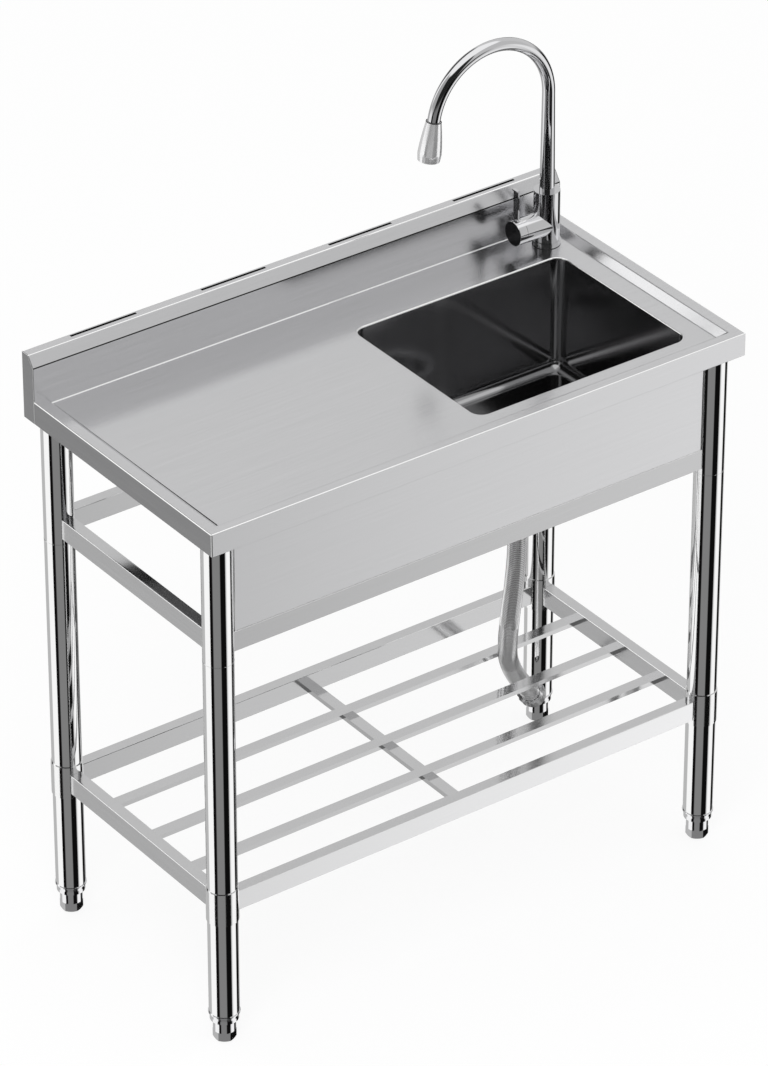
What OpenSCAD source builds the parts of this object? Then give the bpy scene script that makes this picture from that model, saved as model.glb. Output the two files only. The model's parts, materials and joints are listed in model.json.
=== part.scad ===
// Free-standing stainless-steel kitchen sink unit: a worktop with one bowl on four tubular legs,
// with an undershelf, a swivelling gooseneck tap and a drain hose.
// Millimetres, +Z up, front toward -Y. The origin is on the floor, at the centre of the footprint.

/* [Worktop] */
// Width of the worktop
top_w = 1000; // [900:10:1400]
// Depth of the worktop, backsplash included
top_d = 500; // [480:5:600]
// Height of the worktop's rim above the floor
rim_h = 943; // [850:1:1000]
// Thickness of the folded steel sheet
sheet = 1.2; // [0.8:0.1:1.5]
// Height of the apron that hangs from the rim
apron_h = 39; // [34:1:60]
// Width of the lip folded inward at the foot of the apron
apron_lip = 8; // [5:0.5:8]
// Drop from the rim to the deck
deck_drop = 12; // [8:1:15]
// Width of the flat rim at each side
side_rim = 20; // [15:1:21]
// Width of the flat rim in front
front_rim = 18; // [14:1:20]
// Run of the sloping step between rim and deck
step_run = 13; // [8:1:14]
// Number of stiffening ribs under the drainer
rib_count = 2; // [1:1:4]
// Width of a stiffening rib
rib_w = 60; // [40:5:80]
// Height of a stiffening rib
rib_h = 18; // [12:1:25]

/* [Backsplash] */
// Rise of the backsplash above the rim
splash_rise = 76; // [70:1:120]
// Depth of the backsplash at its foot
splash_t = 29; // [24:1:32]
// Height of its upright face above the rim
splash_face = 57.5; // [40:0.5:62]
// Depth of its flat top
splash_flat = 16; // [13:1:20]
// Number of slots along the flat top
slot_count = 4; // [2:1:4]
// Length of a slot
slot_len = 120; // [60:5:150]
// Width of a slot
slot_w = 5; // [2:0.5:6]
// Distance from the left end to the middle of the first slot
slot_first = 144; // [90:1:160]
// Distance from the right end to the middle of the last slot
slot_last = 135; // [90:1:160]
// Distance from the wall to the middle of a slot
slot_back = 6; // [5:0.5:8]

/* [Bowl] */
// Width of the bowl's mouth
bowl_w = 402; // [340:2:420]
// Depth of the bowl's mouth from front to back
bowl_d = 323; // [280:1:330]
// How far down the bowl goes from the deck
bowl_depth = 195; // [160:5:200]
// Distance from the bowl's mouth to the right edge of the worktop
bowl_side = 69; // [66:1:100]
// Distance from the bowl's mouth to the front edge
bowl_front = 57.5; // [52:0.5:60]
// Corner radius of the bowl's mouth
bowl_r = 20; // [14:1:28]
// Radius where the bowl's walls meet its floor
bowl_floor_r = 18; // [12:1:24]
// How much each wall leans in on its way down
bowl_draft = 5; // [2:0.5:10]
// Width of the flange by which the bowl is welded under the deck
bowl_lip = 6; // [4:0.5:9]

/* [Front panel] */
// How far the panel lies back from the face of the front rail
panel_recess = 0.8; // [0.2:0.1:2]
// Width of the flanges folded back around the panel
panel_lip = 14; // [8:1:18]
// Distance from the axis of a front leg to the end of the panel
panel_end = 24.5; // [24.2:0.1:30]

/* [Legs] */
// Outer diameter of a leg
leg_d = 48; // [44:0.5:48.4]
// Wall of a leg
leg_wall = 1.2; // [1:0.1:2]
// Distance from a leg's axis to the side edge of the worktop
leg_side = 34; // [34:0.5:40]
// Distance from a front leg's axis to the front edge
leg_front = 38; // [36:0.5:42]
// Distance from a rear leg's axis to the rear edge
leg_rear = 35; // [35:0.5:40]
// Length of an upper leg, from its joint to its top
upper_leg_h = 233; // [200:1:260]
// Height of the bright ring between the upper and lower leg
joint_ring_h = 1; // [0.6:0.2:3]
// How far the joint ring stands out from the leg
joint_ring_out = 0.3; // [0.1:0.1:1]
// Length of the plug in each half of a leg joint
joint_plug = 30; // [15:1:60]
// Thickness of the seat plate on top of each leg
seat_t = 3; // [2:0.5:5]
// Length of the plug under each seat plate
seat_plug = 22; // [12:1:40]

/* [Rails] */
// Width of a rail
rail_w = 20; // [16:1:22]
// Height of a rail
rail_h = 35; // [25:1:40]
// Wall of a rail
rail_wall = 1.2; // [1:0.1:2]
// Bevel along the corners of a rail
rail_edge = 0.8; // [0.3:0.1:1.5]
// Height from the leg joints up to the upper rails
rail_lift = 11; // [6:1:40]

/* [Undershelf] */
// Height of the underside of the shelf's rails above the floor
shelf_h = 235; // [120:5:300]
// Outer diameter of a shelf collar
collar_d = 51; // [50:0.5:56]
// Height of a shelf collar
collar_h = 58; // [50:1:80]
// How far a collar reaches below the rails
collar_below = 10; // [2:1:12]
// Diameter of the screw that clamps a collar
collar_screw_d = 6; // [4:0.5:8]
// How far that screw stands out of its collar
collar_screw_out = 2.5; // [1:0.5:5]
// Number of slats
slat_count = 3; // [3:1:3]
// Width of a slat
slat_w = 20; // [14:1:30]
// Height of a slat
slat_h = 8; // [6:1:10]
// How far the slats lie below the top of the rails
slat_sunk = 16; // [8:1:18]
// Width of the centre bar
bar_w = 20; // [14:1:30]
// Height of the centre bar
bar_h = 8; // [6:1:9]

/* [Feet] */
// Width of the hexagon across its flats
foot_hex = 32; // [30:0.5:36]
// Height of the hexagon
foot_hex_h = 17.5; // [12:0.5:22]
// Height of the bevel below the hexagon
foot_bevel = 3; // [1:0.5:4]
// Diameter of the face on which the foot rests
foot_pad_d = 27; // [22:1:30]
// Diameter of the round neck above the hexagon
foot_neck_d = 36; // [30:0.5:38]
// Height of that neck
foot_neck_h = 20; // [12:1:40]
// Diameter of the threaded stem
foot_stem_d = 16; // [12:1:18]
// Length of the threaded stem
foot_stem_h = 42; // [38:1:60]
// Height of the visible end of a leg insert
insert_cap_h = 14.2; // [6:0.2:20]
// Diameter of that end at its foot
insert_foot_d = 43.6; // [38:0.2:44]
// Height of the rim round its top
insert_rim_h = 1.4; // [0.8:0.2:3]
// How far that rim stands out from the leg
insert_rim_out = 1.2; // [0.4:0.2:2]
// Length of a leg insert inside the leg
insert_plug = 30; // [26:1:60]

/* [Tap] */
// Distance from the tap's axis to the right edge of the worktop
tap_side = 61.5; // [60:0.5:70]
// Distance from the tap's axis to the rear edge
tap_rear = 74.5; // [70:0.5:78]
// Diameter of the tap's body
tap_d = 42.4; // [38:0.2:44]
// Height of the tap's body above the deck
tap_h = 97; // [90:1:130]
// Diameter of the base ring
base_ring_d = 45.6; // [45.2:0.1:52]
// Height of the base ring
base_ring_h = 8; // [3:0.5:12]
// Thickness of the gasket under the tap
tap_gasket_t = 1; // [0.5:0.1:3]
// Diameter of the threaded shank below the deck
shank_d = 28; // [26:0.5:29]
// Length of the shank below the deck
shank_h = 50; // [35:1:70]
// Diameter of each water inlet in the shank
inlet_d = 9; // [7:0.5:10]
// Depth of each water inlet
inlet_deep = 16; // [8:1:25]
// Thickness of the washer under the deck
tap_washer_t = 3; // [1:0.5:5]
// Width of the lock nut across its flats
tap_nut = 36; // [34:0.5:37]
// Height of the lock nut
tap_nut_h = 9; // [6:1:14]
// Diameter of the handle's barrel
barrel_d = 41.8; // [36:0.2:42.4]
// Height of the barrel's axis above the deck
barrel_h = 37.7; // [34:0.1:50]
// Distance from the tap's axis to the end of the handle
handle_out = 66.5; // [64:0.5:80]
// Distance from the tap's axis to the handle's tilt axis
pivot_out = 38.5; // [38:0.5:40]
// Radius of the dome under the handle's cap
dome_r = 24.4; // [23:0.1:24.8]
// Diameter of the cartridge
cartridge_d = 30; // [28:0.5:32]
// Diameter of the ball that the handle tilts on
pivot_ball_d = 14; // [12:0.5:15]
// Diameter of the handle's stem
stem_d = 7; // [5:0.5:8]
// Distance from the end of the handle to the lever
lever_in = 5; // [4:0.5:6]
// Thickness of the lever
lever_t = 2.5; // [2:0.5:4]
// Width of the lever
lever_w = 12; // [8:1:14]
// Height of the lever's tip above the barrel's axis
lever_h = 77.3; // [50:0.1:80]
// How far the lever's tip is turned outward
lever_hook = 3; // [1:0.5:4]

/* [Spout] */
// Diameter of the spout where it leaves the body
spout_foot_d = 24.4; // [22:0.2:30]
// Diameter of the spout round its bend
spout_d = 20.6; // [18:0.2:24]
// Wall of the spout
spout_wall = 1.5; // [1:0.1:2.5]
// Radius of the spout's bend
spout_r = 112; // [80:1:140]
// Height above the deck at which the bend starts
spout_rise = 270; // [220:5:320]
// How far round the spout bends, in degrees
spout_turn = 171.5; // [150:0.5:178]
// Diameter of the spigot on which the spout swivels
spigot_d = 20; // [18:0.5:21]
// Length of that spigot
spigot_h = 28; // [15:1:32]
// Length of the spray head
head_h = 65; // [50:1:80]
// Diameter of the spray head at its upper end
head_top_d = 24.4; // [21.6:0.2:26]
// Diameter of the spray head where it is widest
head_d = 37.8; // [30:0.2:42]
// Thickness of the aerator
aerator_t = 3.5; // [2:0.5:6]

/* [Drain] */
// Diameter of the hole in the bowl's floor
drain_hole_d = 90; // [86:1:94]
// Diameter of the flange on the bowl's floor
drain_flange_d = 112; // [108:1:120]
// Thickness of that flange
drain_flange_t = 2; // [1.5:0.5:4]
// Outer diameter of the strainer's body
drain_body_d = 88; // [84:1:89.5]
// Height of the strainer's body
drain_body_h = 45; // [38:1:60]
// Wall of the strainer's body
drain_wall = 2.5; // [2:0.5:3]
// Diameter of the outlet
outlet_d = 38; // [36:1:44]
// Length of the outlet
outlet_h = 25; // [18:1:40]
// Depth of the basket
basket_h = 24; // [15:1:28]
// Width of the ledge that carries the basket
ledge_w = 2.5; // [2:0.5:3]
// How far the basket's rim lies below the bowl's floor
ledge_deep = 6; // [4:1:10]
// Thickness of the gasket under the bowl
drain_gasket_t = 3; // [2:0.5:5]
// Outer diameter of the gasket and the lock nut
drain_nut_d = 108; // [100:1:116]
// Height of the lock nut
drain_nut_h = 12; // [8:1:16]

/* [Drain hose] */
// Outer diameter of the hose
hose_d = 32; // [26:1:32]
// Bore of the hose
hose_bore = 26; // [20:1:26]
// Depth of the grooves between its ribs
rib_deep = 1; // [0.5:0.1:1.5]
// Number of ribs from one route point to the next
ribs_per_step = 18; // [8:1:18]
// Diameter of the nut that holds the hose to the outlet
hose_nut_d = 50; // [48:1:58]
// Half the height of that nut
hose_nut_h = 14; // [10:1:17]
// Diameter of the nut at the end of the hose
end_nut_d = 46; // [43:1:52]
// Length over which that nut holds the hose
end_nut_grip = 12; // [8:1:20]
// Bore into which the waste pipe goes
waste_d = 38; // [32:1:38]
// Depth of that bore
waste_deep = 16; // [10:1:24]
// Number of grips around a ring nut
nut_grips = 16; // [8:1:20]

/* [Clearances] */
// Gap between a rail and the leg or collar that it meets
cope_gap = 0.15; // [0.1:0.05:0.4]
// Radial gap of plugs, collars and threads that sit tight
snug = 0.1; // [0.05:0.05:0.2]
// Radial gap of pieces that slide or turn in one another
running = 0.05; // [0.03:0.01:0.1]
// Gap between pieces that move past one another
apart = 0.3; // [0.2:0.05:0.5]

/* [Hidden] */

$fn = 64;
// How far a cutting shape reaches past what it cuts
past = 1;

// Places of the worktop
half_w = top_w / 2;
front_y = -top_d / 2;
back_y = top_d / 2;
splash_y = back_y - splash_t;
splash_top = rim_h + splash_rise;
slot_pitch = (top_w - slot_first - slot_last) / (slot_count - 1);
deck_z = rim_h - deck_drop;
deck_under = deck_z - sheet;
apron_foot = rim_h - apron_h;
step_slope = step_run / deck_drop;
step_shift = sheet / sin(atan(deck_drop / step_run));

// Places of the legs and rails
leg_x = half_w - leg_side;
leg_front_y = front_y + leg_front;
leg_rear_y = back_y - leg_rear;
leg_top = deck_under - seat_t;
joint_z = leg_top - upper_leg_h;
foot_h = foot_hex_h + foot_neck_h;
// How far each foot happens to be turned
foot_stands = 24;
leg_foot = foot_h + apart + insert_cap_h;
plug_d = leg_d - 2 * leg_wall - 2 * snug;
upper_rail_z = joint_z + rail_lift;
upper_rail_top = upper_rail_z + rail_h;
rail_inner_x = leg_x - rail_w / 2;
rail_front_y = leg_front_y + rail_w / 2;
rail_rear_y = leg_rear_y - rail_w / 2;
panel_y = leg_front_y - rail_w / 2 + panel_recess;
slat_top = shelf_h + rail_h - slat_sunk;
collar_screw_z = shelf_h + (rail_h + collar_h - collar_below) / 2;
slat_gap = (rail_rear_y - rail_front_y - slat_count * slat_w) / (slat_count + 1);

// Places of the bowl and drain
bowl_x = half_w - bowl_side - bowl_w / 2;
bowl_y = front_y + bowl_front + bowl_d / 2;
bowl_floor = deck_z - bowl_depth;
drain_foot = bowl_floor - drain_body_h;
outlet_foot = drain_foot - outlet_h;
drain_bore = drain_body_d - 2 * drain_wall;
outlet_wall = 5;

// Places of the tap
tap_x = half_w - tap_side;
tap_y = back_y - tap_rear;
barrel_z = deck_z + barrel_h;
dome_start = pivot_out + sqrt(dome_r * dome_r - barrel_d * barrel_d / 4);
cap_cavity_r = dome_r + apart;
ball_seat = pivot_out - pivot_ball_d / 2 - running;
cartridge_back = -4;
water_way_d = 6;
inlet_y = shank_d / 4;
bonnet_skirt = 10;
bonnet_bore_d = 26;
pin_d = 3;
tongue_w = 4;
tongue_reach = 8;
mouth_lip = 1.3;
// Step at the seam where the spout's straight tube meets its bend
bend_step = 0.1;
mouth_d = head_d - 4 * mouth_lip;

// Route of the drain hose, from the outlet to its loose end
hose_drop = 64;
hose_knee = 475;
HOSE_ROUTE = [
    [bowl_x, bowl_y, outlet_foot],
    [bowl_x, bowl_y, outlet_foot - hose_drop],
    [bowl_x, bowl_y, (outlet_foot - hose_drop + hose_knee) / 2],
    [231, -24, hose_knee],
    [236, -9, 413],
    [246, 10, 352],
    [264, 34, 295],
    [293, 62, 245],
    [327, 89, 197],
    [363, 118, 154],
    [404, 151, 105]
];
HOSE_SIDES = 8;
hose_last = len(HOSE_ROUTE) - 1;
hose_end = HOSE_ROUTE[hose_last];
hose_exit = unit(hose_end - HOSE_ROUTE[hose_last - 1]);

// Vectors and curves

function unit(v) = v / norm(v);

// A point past either end of the route lies straight on
function route_point(i) =
    i < 0 ? 2 * HOSE_ROUTE[0] - HOSE_ROUTE[1]
    : i > hose_last ? 2 * HOSE_ROUTE[hose_last] - HOSE_ROUTE[hose_last - 1]
    : HOSE_ROUTE[i];

// Smooth curve through four neighbouring points, for t from 0 to 1 between the middle two
function through(a, b, c, d, t) =
    (2 * b + (c - a) * t + (2 * a - 5 * b + 4 * c - d) * t * t
        + (3 * b - a - 3 * c + d) * t * t * t) / 2;

function hose_at(s) =
    let (i = min(floor(s), hose_last - 1))
    through(route_point(i - 1), route_point(i), route_point(i + 1), route_point(i + 2), s - i);

function hose_way(s) =
    let (e = 0.01)
    unit(hose_at(min(s + e, hose_last)) - hose_at(max(s - e, 0)));

// One ring of points around the hose at the place s
function hose_ring(s, r) =
    let (way = hose_way(s), side = unit(cross(way, [0, 1, 0])), up = cross(side, way))
    [for (k = [0 : HOSE_SIDES - 1])
        hose_at(s) + r * (cos(360 * k / HOSE_SIDES) * side + sin(360 * k / HOSE_SIDES) * up)];

// Corners of a rounded rectangle
function rounded_points(w, d, r, steps = 8) =
    [for (q = [0 : 3], k = [0 : steps])
        let (a = 90 * q + 90 * k / steps,
            cx = (q == 0 || q == 3 ? 1 : -1) * (w / 2 - r),
            cy = (q < 2 ? 1 : -1) * (d / 2 - r))
        [cx + r * cos(a), cy + r * sin(a)]];

// Helpers

module box(x0, x1, y0, y1, z0, z1) {
    translate([x0, y0, z0])
        cube([x1 - x0, y1 - y0, z1 - z0]);
}

// Extrudes a profile drawn in Y and Z along X
module along_x(x0, x1) {
    translate([x0, 0, 0])
        rotate([90, 0, 90])
            linear_extrude(x1 - x0)
                children();
}

// Extrudes a profile drawn in X and Z along Y
module along_y(y0, y1) {
    translate([0, y1, 0])
        rotate([90, 0, 0])
            linear_extrude(y1 - y0)
                children();
}

module tube(d, bore, h) {
    difference() {
        cylinder(d = d, h = h);
        translate([0, 0, -past])
            cylinder(d = bore, h = h + 2 * past);
    }
}

// Places its children at a leg: side is -1 or 1, row is -1 in front and 1 at the rear
module at_leg(side, row) {
    translate([side * leg_x, row < 0 ? leg_front_y : leg_rear_y, 0])
        children();
}

module at_each_leg() {
    for (side = [-1, 1], row = [-1, 1])
        at_leg(side, row)
            children();
}

// Stands its children on the tap's axis, at deck level
module at_tap() {
    translate([tap_x, tap_y, deck_z])
        children();
}

// Turns +Z to the left along the handle's barrel
module along_barrel() {
    at_tap()
        translate([0, 0, barrel_h])
            rotate([0, -90, 0])
                children();
}

module at_drain(z) {
    translate([bowl_x, bowl_y, z])
        children();
}

// Profile of a rail with bevelled corners
module rail_outline(w, h) {
    e = rail_edge;
    polygon([[-w / 2 + e, 0], [w / 2 - e, 0], [w / 2, e], [w / 2, h - e],
        [w / 2 - e, h], [-w / 2 + e, h], [-w / 2, h - e], [-w / 2, e]]);
}

module rail_profile() {
    difference() {
        rail_outline(rail_w, rail_h);
        translate([-rail_w / 2 + rail_wall, rail_wall])
            square([rail_w - 2 * rail_wall, rail_h - 2 * rail_wall]);
    }
}

// Cuts the ends of a rail round the legs or collars that it meets
module coped(z, post_d) {
    difference() {
        children();
        at_each_leg()
            translate([0, 0, z - past])
                cylinder(d = post_d + 2 * cope_gap, h = rail_h + 2 * past);
    }
}

module rail_across(y, z, post_d) {
    coped(z, post_d)
        translate([0, y, z])
            along_x(-leg_x, leg_x)
                rail_profile();
}

module rail_along(side, z, post_d) {
    coped(z, post_d)
        translate([side * leg_x, 0, z])
            along_y(leg_front_y, leg_rear_y)
                rail_profile();
}

// Profile of a shallow channel that is open below, with its top at height 0
module channel_profile(w, h) {
    difference() {
        translate([-w / 2, -h])
            square([w, h]);
        translate([-w / 2 + sheet, -h - past])
            square([w - 2 * sheet, h + past - sheet]);
    }
}

// Grips around a ring nut
module grips(d, h) {
    for (k = [0 : nut_grips - 1])
        rotate([0, 0, 360 * k / nut_grips])
            translate([d / 2 - 1.5, -1.5, 0])
                cube([2.7, 3, h]);
}

// Worktop

// Hollow of the worktop, with sloping sides and front, down to the level z0
module pan_hollow(shift, z0) {
    z1 = rim_h + past;
    side_low = half_w - side_rim + shift - (rim_h - z0) * step_slope;
    side_high = half_w - side_rim + shift + past * step_slope;
    front_low = front_y + front_rim - shift + (rim_h - z0) * step_slope;
    front_high = front_y + front_rim - shift - past * step_slope;
    intersection() {
        along_y(front_y, splash_y)
            polygon([[-side_low, z0], [side_low, z0], [side_high, z1], [-side_high, z1]]);
        along_x(-half_w, half_w)
            polygon([[front_low, z0], [splash_y, z0], [splash_y, z1], [front_high, z1]]);
    }
}

module apron() {
    inner = half_w - sheet;
    lip = half_w - sheet - apron_lip;
    difference() {
        box(-half_w, half_w, front_y, splash_y, apron_foot, rim_h);
        box(-inner, inner, front_y + sheet, splash_y + past, apron_foot + sheet, rim_h - sheet);
        box(-lip, lip, front_y + sheet + apron_lip, splash_y + past, apron_foot - past, rim_h - sheet);
    }
}

module worktop() {
    color("gainsboro")
        difference() {
            union() {
                apron();
                intersection() {
                    pan_hollow(step_shift, deck_under);
                    box(-half_w, half_w, front_y, splash_y, deck_under, rim_h);
                }
                box(-half_w + sheet, half_w - sheet, splash_y - past, back_y - sheet,
                    deck_under, deck_z);
            }
            pan_hollow(0, deck_z);
            translate([bowl_x, bowl_y, deck_under - past])
                linear_extrude(sheet + 2 * past)
                    polygon(rounded_points(bowl_w, bowl_d, bowl_r));
            at_tap()
                translate([0, 0, -sheet - past])
                    cylinder(d = shank_d + 2 * apart, h = sheet + 2 * past);
        }
}

module worktop_ribs() {
    left = -half_w + side_rim + step_run;
    right = bowl_x - bowl_w / 2 - bowl_lip;
    step = (right - left) / (rib_count + 1);
    color("silver")
        for (k = [1 : rib_count])
            translate([left + k * step, 0, deck_under])
                along_y(panel_y + panel_lip + apart, splash_y)
                    channel_profile(rib_w, rib_h);
}

module backsplash() {
    dy = splash_t - splash_flat;
    dz = splash_rise - splash_face;
    slant = norm([dy, dz]);
    face_top = rim_h + splash_face;
    inner_face_top = face_top - sheet * (slant - dz) / dy;
    inner_flat_y = back_y - splash_flat + sheet * (slant - dy) / dz;
    color("gainsboro")
        difference() {
            along_x(-half_w + sheet, half_w - sheet)
                polygon([[splash_y, deck_z], [splash_y, face_top],
                    [back_y - splash_flat, splash_top], [back_y, splash_top],
                    [back_y, apron_foot], [back_y - sheet - apron_lip, apron_foot],
                    [back_y - sheet - apron_lip, apron_foot + sheet],
                    [back_y - sheet, apron_foot + sheet], [back_y - sheet, splash_top - sheet],
                    [inner_flat_y, splash_top - sheet], [splash_y + sheet, inner_face_top],
                    [splash_y + sheet, deck_z]]);
            for (k = [0 : slot_count - 1])
                translate([-half_w + slot_first + k * slot_pitch, back_y - slot_back,
                    splash_top - sheet])
                    box(-slot_len / 2, slot_len / 2, -slot_w / 2, slot_w / 2, -past, sheet + past);
        }
}

module backsplash_cap(side) {
    x0 = side < 0 ? -half_w : half_w - sheet;
    color("gainsboro")
        along_x(x0, x0 + sheet)
            polygon([[splash_y, apron_foot], [splash_y, rim_h + splash_face],
                [back_y - splash_flat, splash_top], [back_y, splash_top], [back_y, apron_foot]]);
}

// Bowl

// The bowl's shape grown outward by some thickness: upright corners above, rounded ones below
module bowl_form(grow, top_z) {
    r = bowl_floor_r + grow;
    low_x = bowl_w / 2 - bowl_draft - bowl_floor_r;
    low_y = bowl_d / 2 - bowl_draft - bowl_floor_r;
    translate([bowl_x, bowl_y, 0])
        hull() {
            translate([0, 0, top_z - past])
                linear_extrude(past)
                    polygon(rounded_points(bowl_w + 2 * grow, bowl_d + 2 * grow, bowl_r + grow));
            for (x = [-low_x, low_x], y = [-low_y, low_y])
                translate([x, y, bowl_floor + bowl_floor_r])
                    sphere(r = r, $fn = 32);
            box(-low_x, low_x, -low_y, low_y, bowl_floor - grow, bowl_floor + past);
        }
}

module bowl() {
    lip_z = deck_under - sheet;
    color("dimgray")
        difference() {
            union() {
                bowl_form(sheet, deck_under);
                translate([bowl_x, bowl_y, lip_z])
                    linear_extrude(sheet)
                        polygon(rounded_points(bowl_w + 2 * bowl_lip, bowl_d + 2 * bowl_lip,
                            bowl_r + bowl_lip));
            }
            bowl_form(0, deck_under + past);
            at_drain(bowl_floor - 2 * sheet)
                cylinder(d = drain_hole_d, h = 3 * sheet);
        }
}

module front_panel() {
    end_x = leg_x - panel_end;
    back = panel_y + panel_lip;
    color("gainsboro")
        difference() {
            box(-end_x, end_x, panel_y, back, upper_rail_top, deck_under);
            box(-end_x + sheet, end_x - sheet, panel_y + sheet, back + past,
                upper_rail_top + sheet, deck_under - sheet);
        }
}

// Legs and frame

module upper_leg(side, row) {
    foot = joint_z + joint_ring_h / 2;
    color("lightgray")
        at_leg(side, row)
            translate([0, 0, foot])
                tube(leg_d, leg_d - 2 * leg_wall, leg_top - foot);
}

module lower_leg(side, row) {
    color("lightgray")
        at_leg(side, row)
            translate([0, 0, leg_foot])
                tube(leg_d, leg_d - 2 * leg_wall, joint_z - joint_ring_h / 2 - leg_foot);
}

module leg_seats() {
    color("darkgray")
        at_each_leg() {
            translate([0, 0, leg_top])
                cylinder(d = leg_d, h = seat_t);
            translate([0, 0, leg_top - seat_plug])
                cylinder(d = plug_d, h = seat_plug);
        }
}

module leg_joiners() {
    color("white")
        at_each_leg()
            translate([0, 0, joint_z]) {
                translate([0, 0, -joint_ring_h / 2])
                    cylinder(d = leg_d + 2 * joint_ring_out, h = joint_ring_h);
                translate([0, 0, -joint_plug])
                    cylinder(d = plug_d, h = 2 * joint_plug);
            }
}

module upper_rail_front() {
    color("lightgray")
        rail_across(leg_front_y, upper_rail_z, leg_d);
}

module upper_rail_rear() {
    color("lightgray")
        rail_across(leg_rear_y, upper_rail_z, leg_d);
}

module upper_rail_side(side) {
    color("lightgray")
        rail_along(side, upper_rail_z, leg_d);
}

// Undershelf

module shelf_collars() {
    color("whitesmoke")
        difference() {
            at_each_leg()
                translate([0, 0, shelf_h - collar_below])
                    tube(collar_d, leg_d + 2 * snug, collar_h);
            screw_shafts();
        }
}

// Screws that reach each leg from behind, between the rails and the collar's top
module screw_shafts() {
    for (side = [-1, 1], row = [-1, 1])
        at_leg(side, row)
            translate([0, leg_d / 2, collar_screw_z])
                rotate([-90, 0, 0])
                    cylinder(d = collar_screw_d, h = collar_d / 2 - leg_d / 2 + collar_screw_out);
}

module collar_screws() {
    color("dimgray")
        screw_shafts();
}

module shelf_rail_front() {
    color("lightgray")
        rail_across(leg_front_y, shelf_h, collar_d);
}

module shelf_rail_rear() {
    color("lightgray")
        rail_across(leg_rear_y, shelf_h, collar_d);
}

module shelf_rail_side(side) {
    color("lightgray")
        rail_along(side, shelf_h, collar_d);
}

// Slats are counted from the front, from 0
module shelf_slat(k) {
    color("gainsboro")
        translate([0, rail_front_y + slat_gap + slat_w / 2 + k * (slat_w + slat_gap), slat_top])
            along_x(-rail_inner_x, rail_inner_x)
                channel_profile(slat_w, slat_h);
}

module shelf_centre_bar() {
    color("gainsboro")
        translate([0, 0, slat_top - slat_h])
            along_y(rail_front_y, rail_rear_y)
                channel_profile(bar_w, bar_h);
}

// Feet

module foot_inserts() {
    bore = foot_stem_d + 2 * running;
    color("silver")
        at_each_leg()
            translate([0, 0, foot_h + apart])
                difference() {
                    union() {
                        cylinder(d1 = insert_foot_d, d2 = leg_d, h = insert_cap_h);
                        translate([0, 0, insert_cap_h - insert_rim_h])
                            cylinder(d = leg_d + 2 * insert_rim_out, h = insert_rim_h);
                        cylinder(d = plug_d, h = insert_cap_h + insert_plug);
                    }
                    translate([0, 0, -past])
                        cylinder(d = bore, h = insert_cap_h + insert_plug + 2 * past);
                }
}

module adjustable_foot(side, row) {
    corner_d = foot_hex / cos(30);
    flare = (corner_d - foot_pad_d) / foot_bevel;
    color("silver")
        at_leg(side, row) {
            intersection() {
                rotate([0, 0, foot_stands])
                    cylinder(d = corner_d, h = foot_hex_h, $fn = 6);
                cylinder(d1 = foot_pad_d, d2 = foot_pad_d + flare * foot_hex_h, h = foot_hex_h);
            }
            translate([0, 0, foot_hex_h])
                cylinder(d = foot_neck_d, h = foot_neck_h);
            // The stem is rooted in the hexagon
            translate([0, 0, foot_hex_h - past])
                cylinder(d = foot_stem_d, h = past + foot_neck_h + foot_stem_h);
        }
}

// Tap

module faucet_gasket() {
    color("black")
        at_tap()
            tube(base_ring_d, shank_d + 2 * apart, tap_gasket_t);
}

module faucet_base_ring() {
    color("lightgray")
        at_tap()
            translate([0, 0, tap_gasket_t])
                tube(base_ring_d, tap_d + 2 * snug, base_ring_h);
}

module faucet_body() {
    socket_d = spigot_d + 2 * running;
    cartridge_bore = cartridge_d + 2 * snug;
    color("lightgray")
        difference() {
            union() {
                at_tap() {
                    translate([0, 0, tap_gasket_t])
                        cylinder(d = tap_d, h = tap_h - tap_gasket_t);
                    translate([0, 0, -sheet - shank_h])
                        cylinder(d = shank_d, h = shank_h + sheet + tap_gasket_t + past);
                }
                along_barrel()
                    cylinder(d = barrel_d, h = dome_start);
            }
            at_tap() {
                translate([0, 0, tap_h - spigot_h - apart])
                    cylinder(d = socket_d, h = spigot_h + apart + past);
                translate([0, 0, barrel_h])
                    cylinder(d = 2 * water_way_d, h = tap_h - barrel_h);
                for (y = [-inlet_y, inlet_y])
                    translate([0, y, -sheet - shank_h - past]) {
                        cylinder(d = inlet_d, h = inlet_deep + past);
                        cylinder(d = water_way_d, h = sheet + shank_h + barrel_h);
                    }
            }
            along_barrel()
                translate([0, 0, cartridge_back])
                    cylinder(d = cartridge_bore, h = dome_start + past - cartridge_back);
        }
}

module faucet_washer() {
    color("dimgray")
        at_tap()
            translate([0, 0, -sheet - tap_washer_t])
                tube(tap_nut, shank_d + 2 * snug, tap_washer_t);
}

module faucet_lock_nut() {
    color("goldenrod")
        at_tap()
            translate([0, 0, -sheet - tap_washer_t - tap_nut_h])
                difference() {
                    cylinder(d = tap_nut / cos(30), h = tap_nut_h, $fn = 6);
                    translate([0, 0, -past])
                        cylinder(d = shank_d + 2 * snug, h = tap_nut_h + 2 * past);
                }
}

// The cartridge fills the barrel, with a seat for the ball in its outer end
module cartridge() {
    color("white")
        along_barrel()
            difference() {
                translate([0, 0, cartridge_back])
                    cylinder(d = cartridge_d, h = dome_start - bonnet_skirt - cartridge_back);
                translate([0, 0, ball_seat])
                    cylinder(d = pivot_ball_d + 2 * running, h = dome_start);
            }
}

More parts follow.
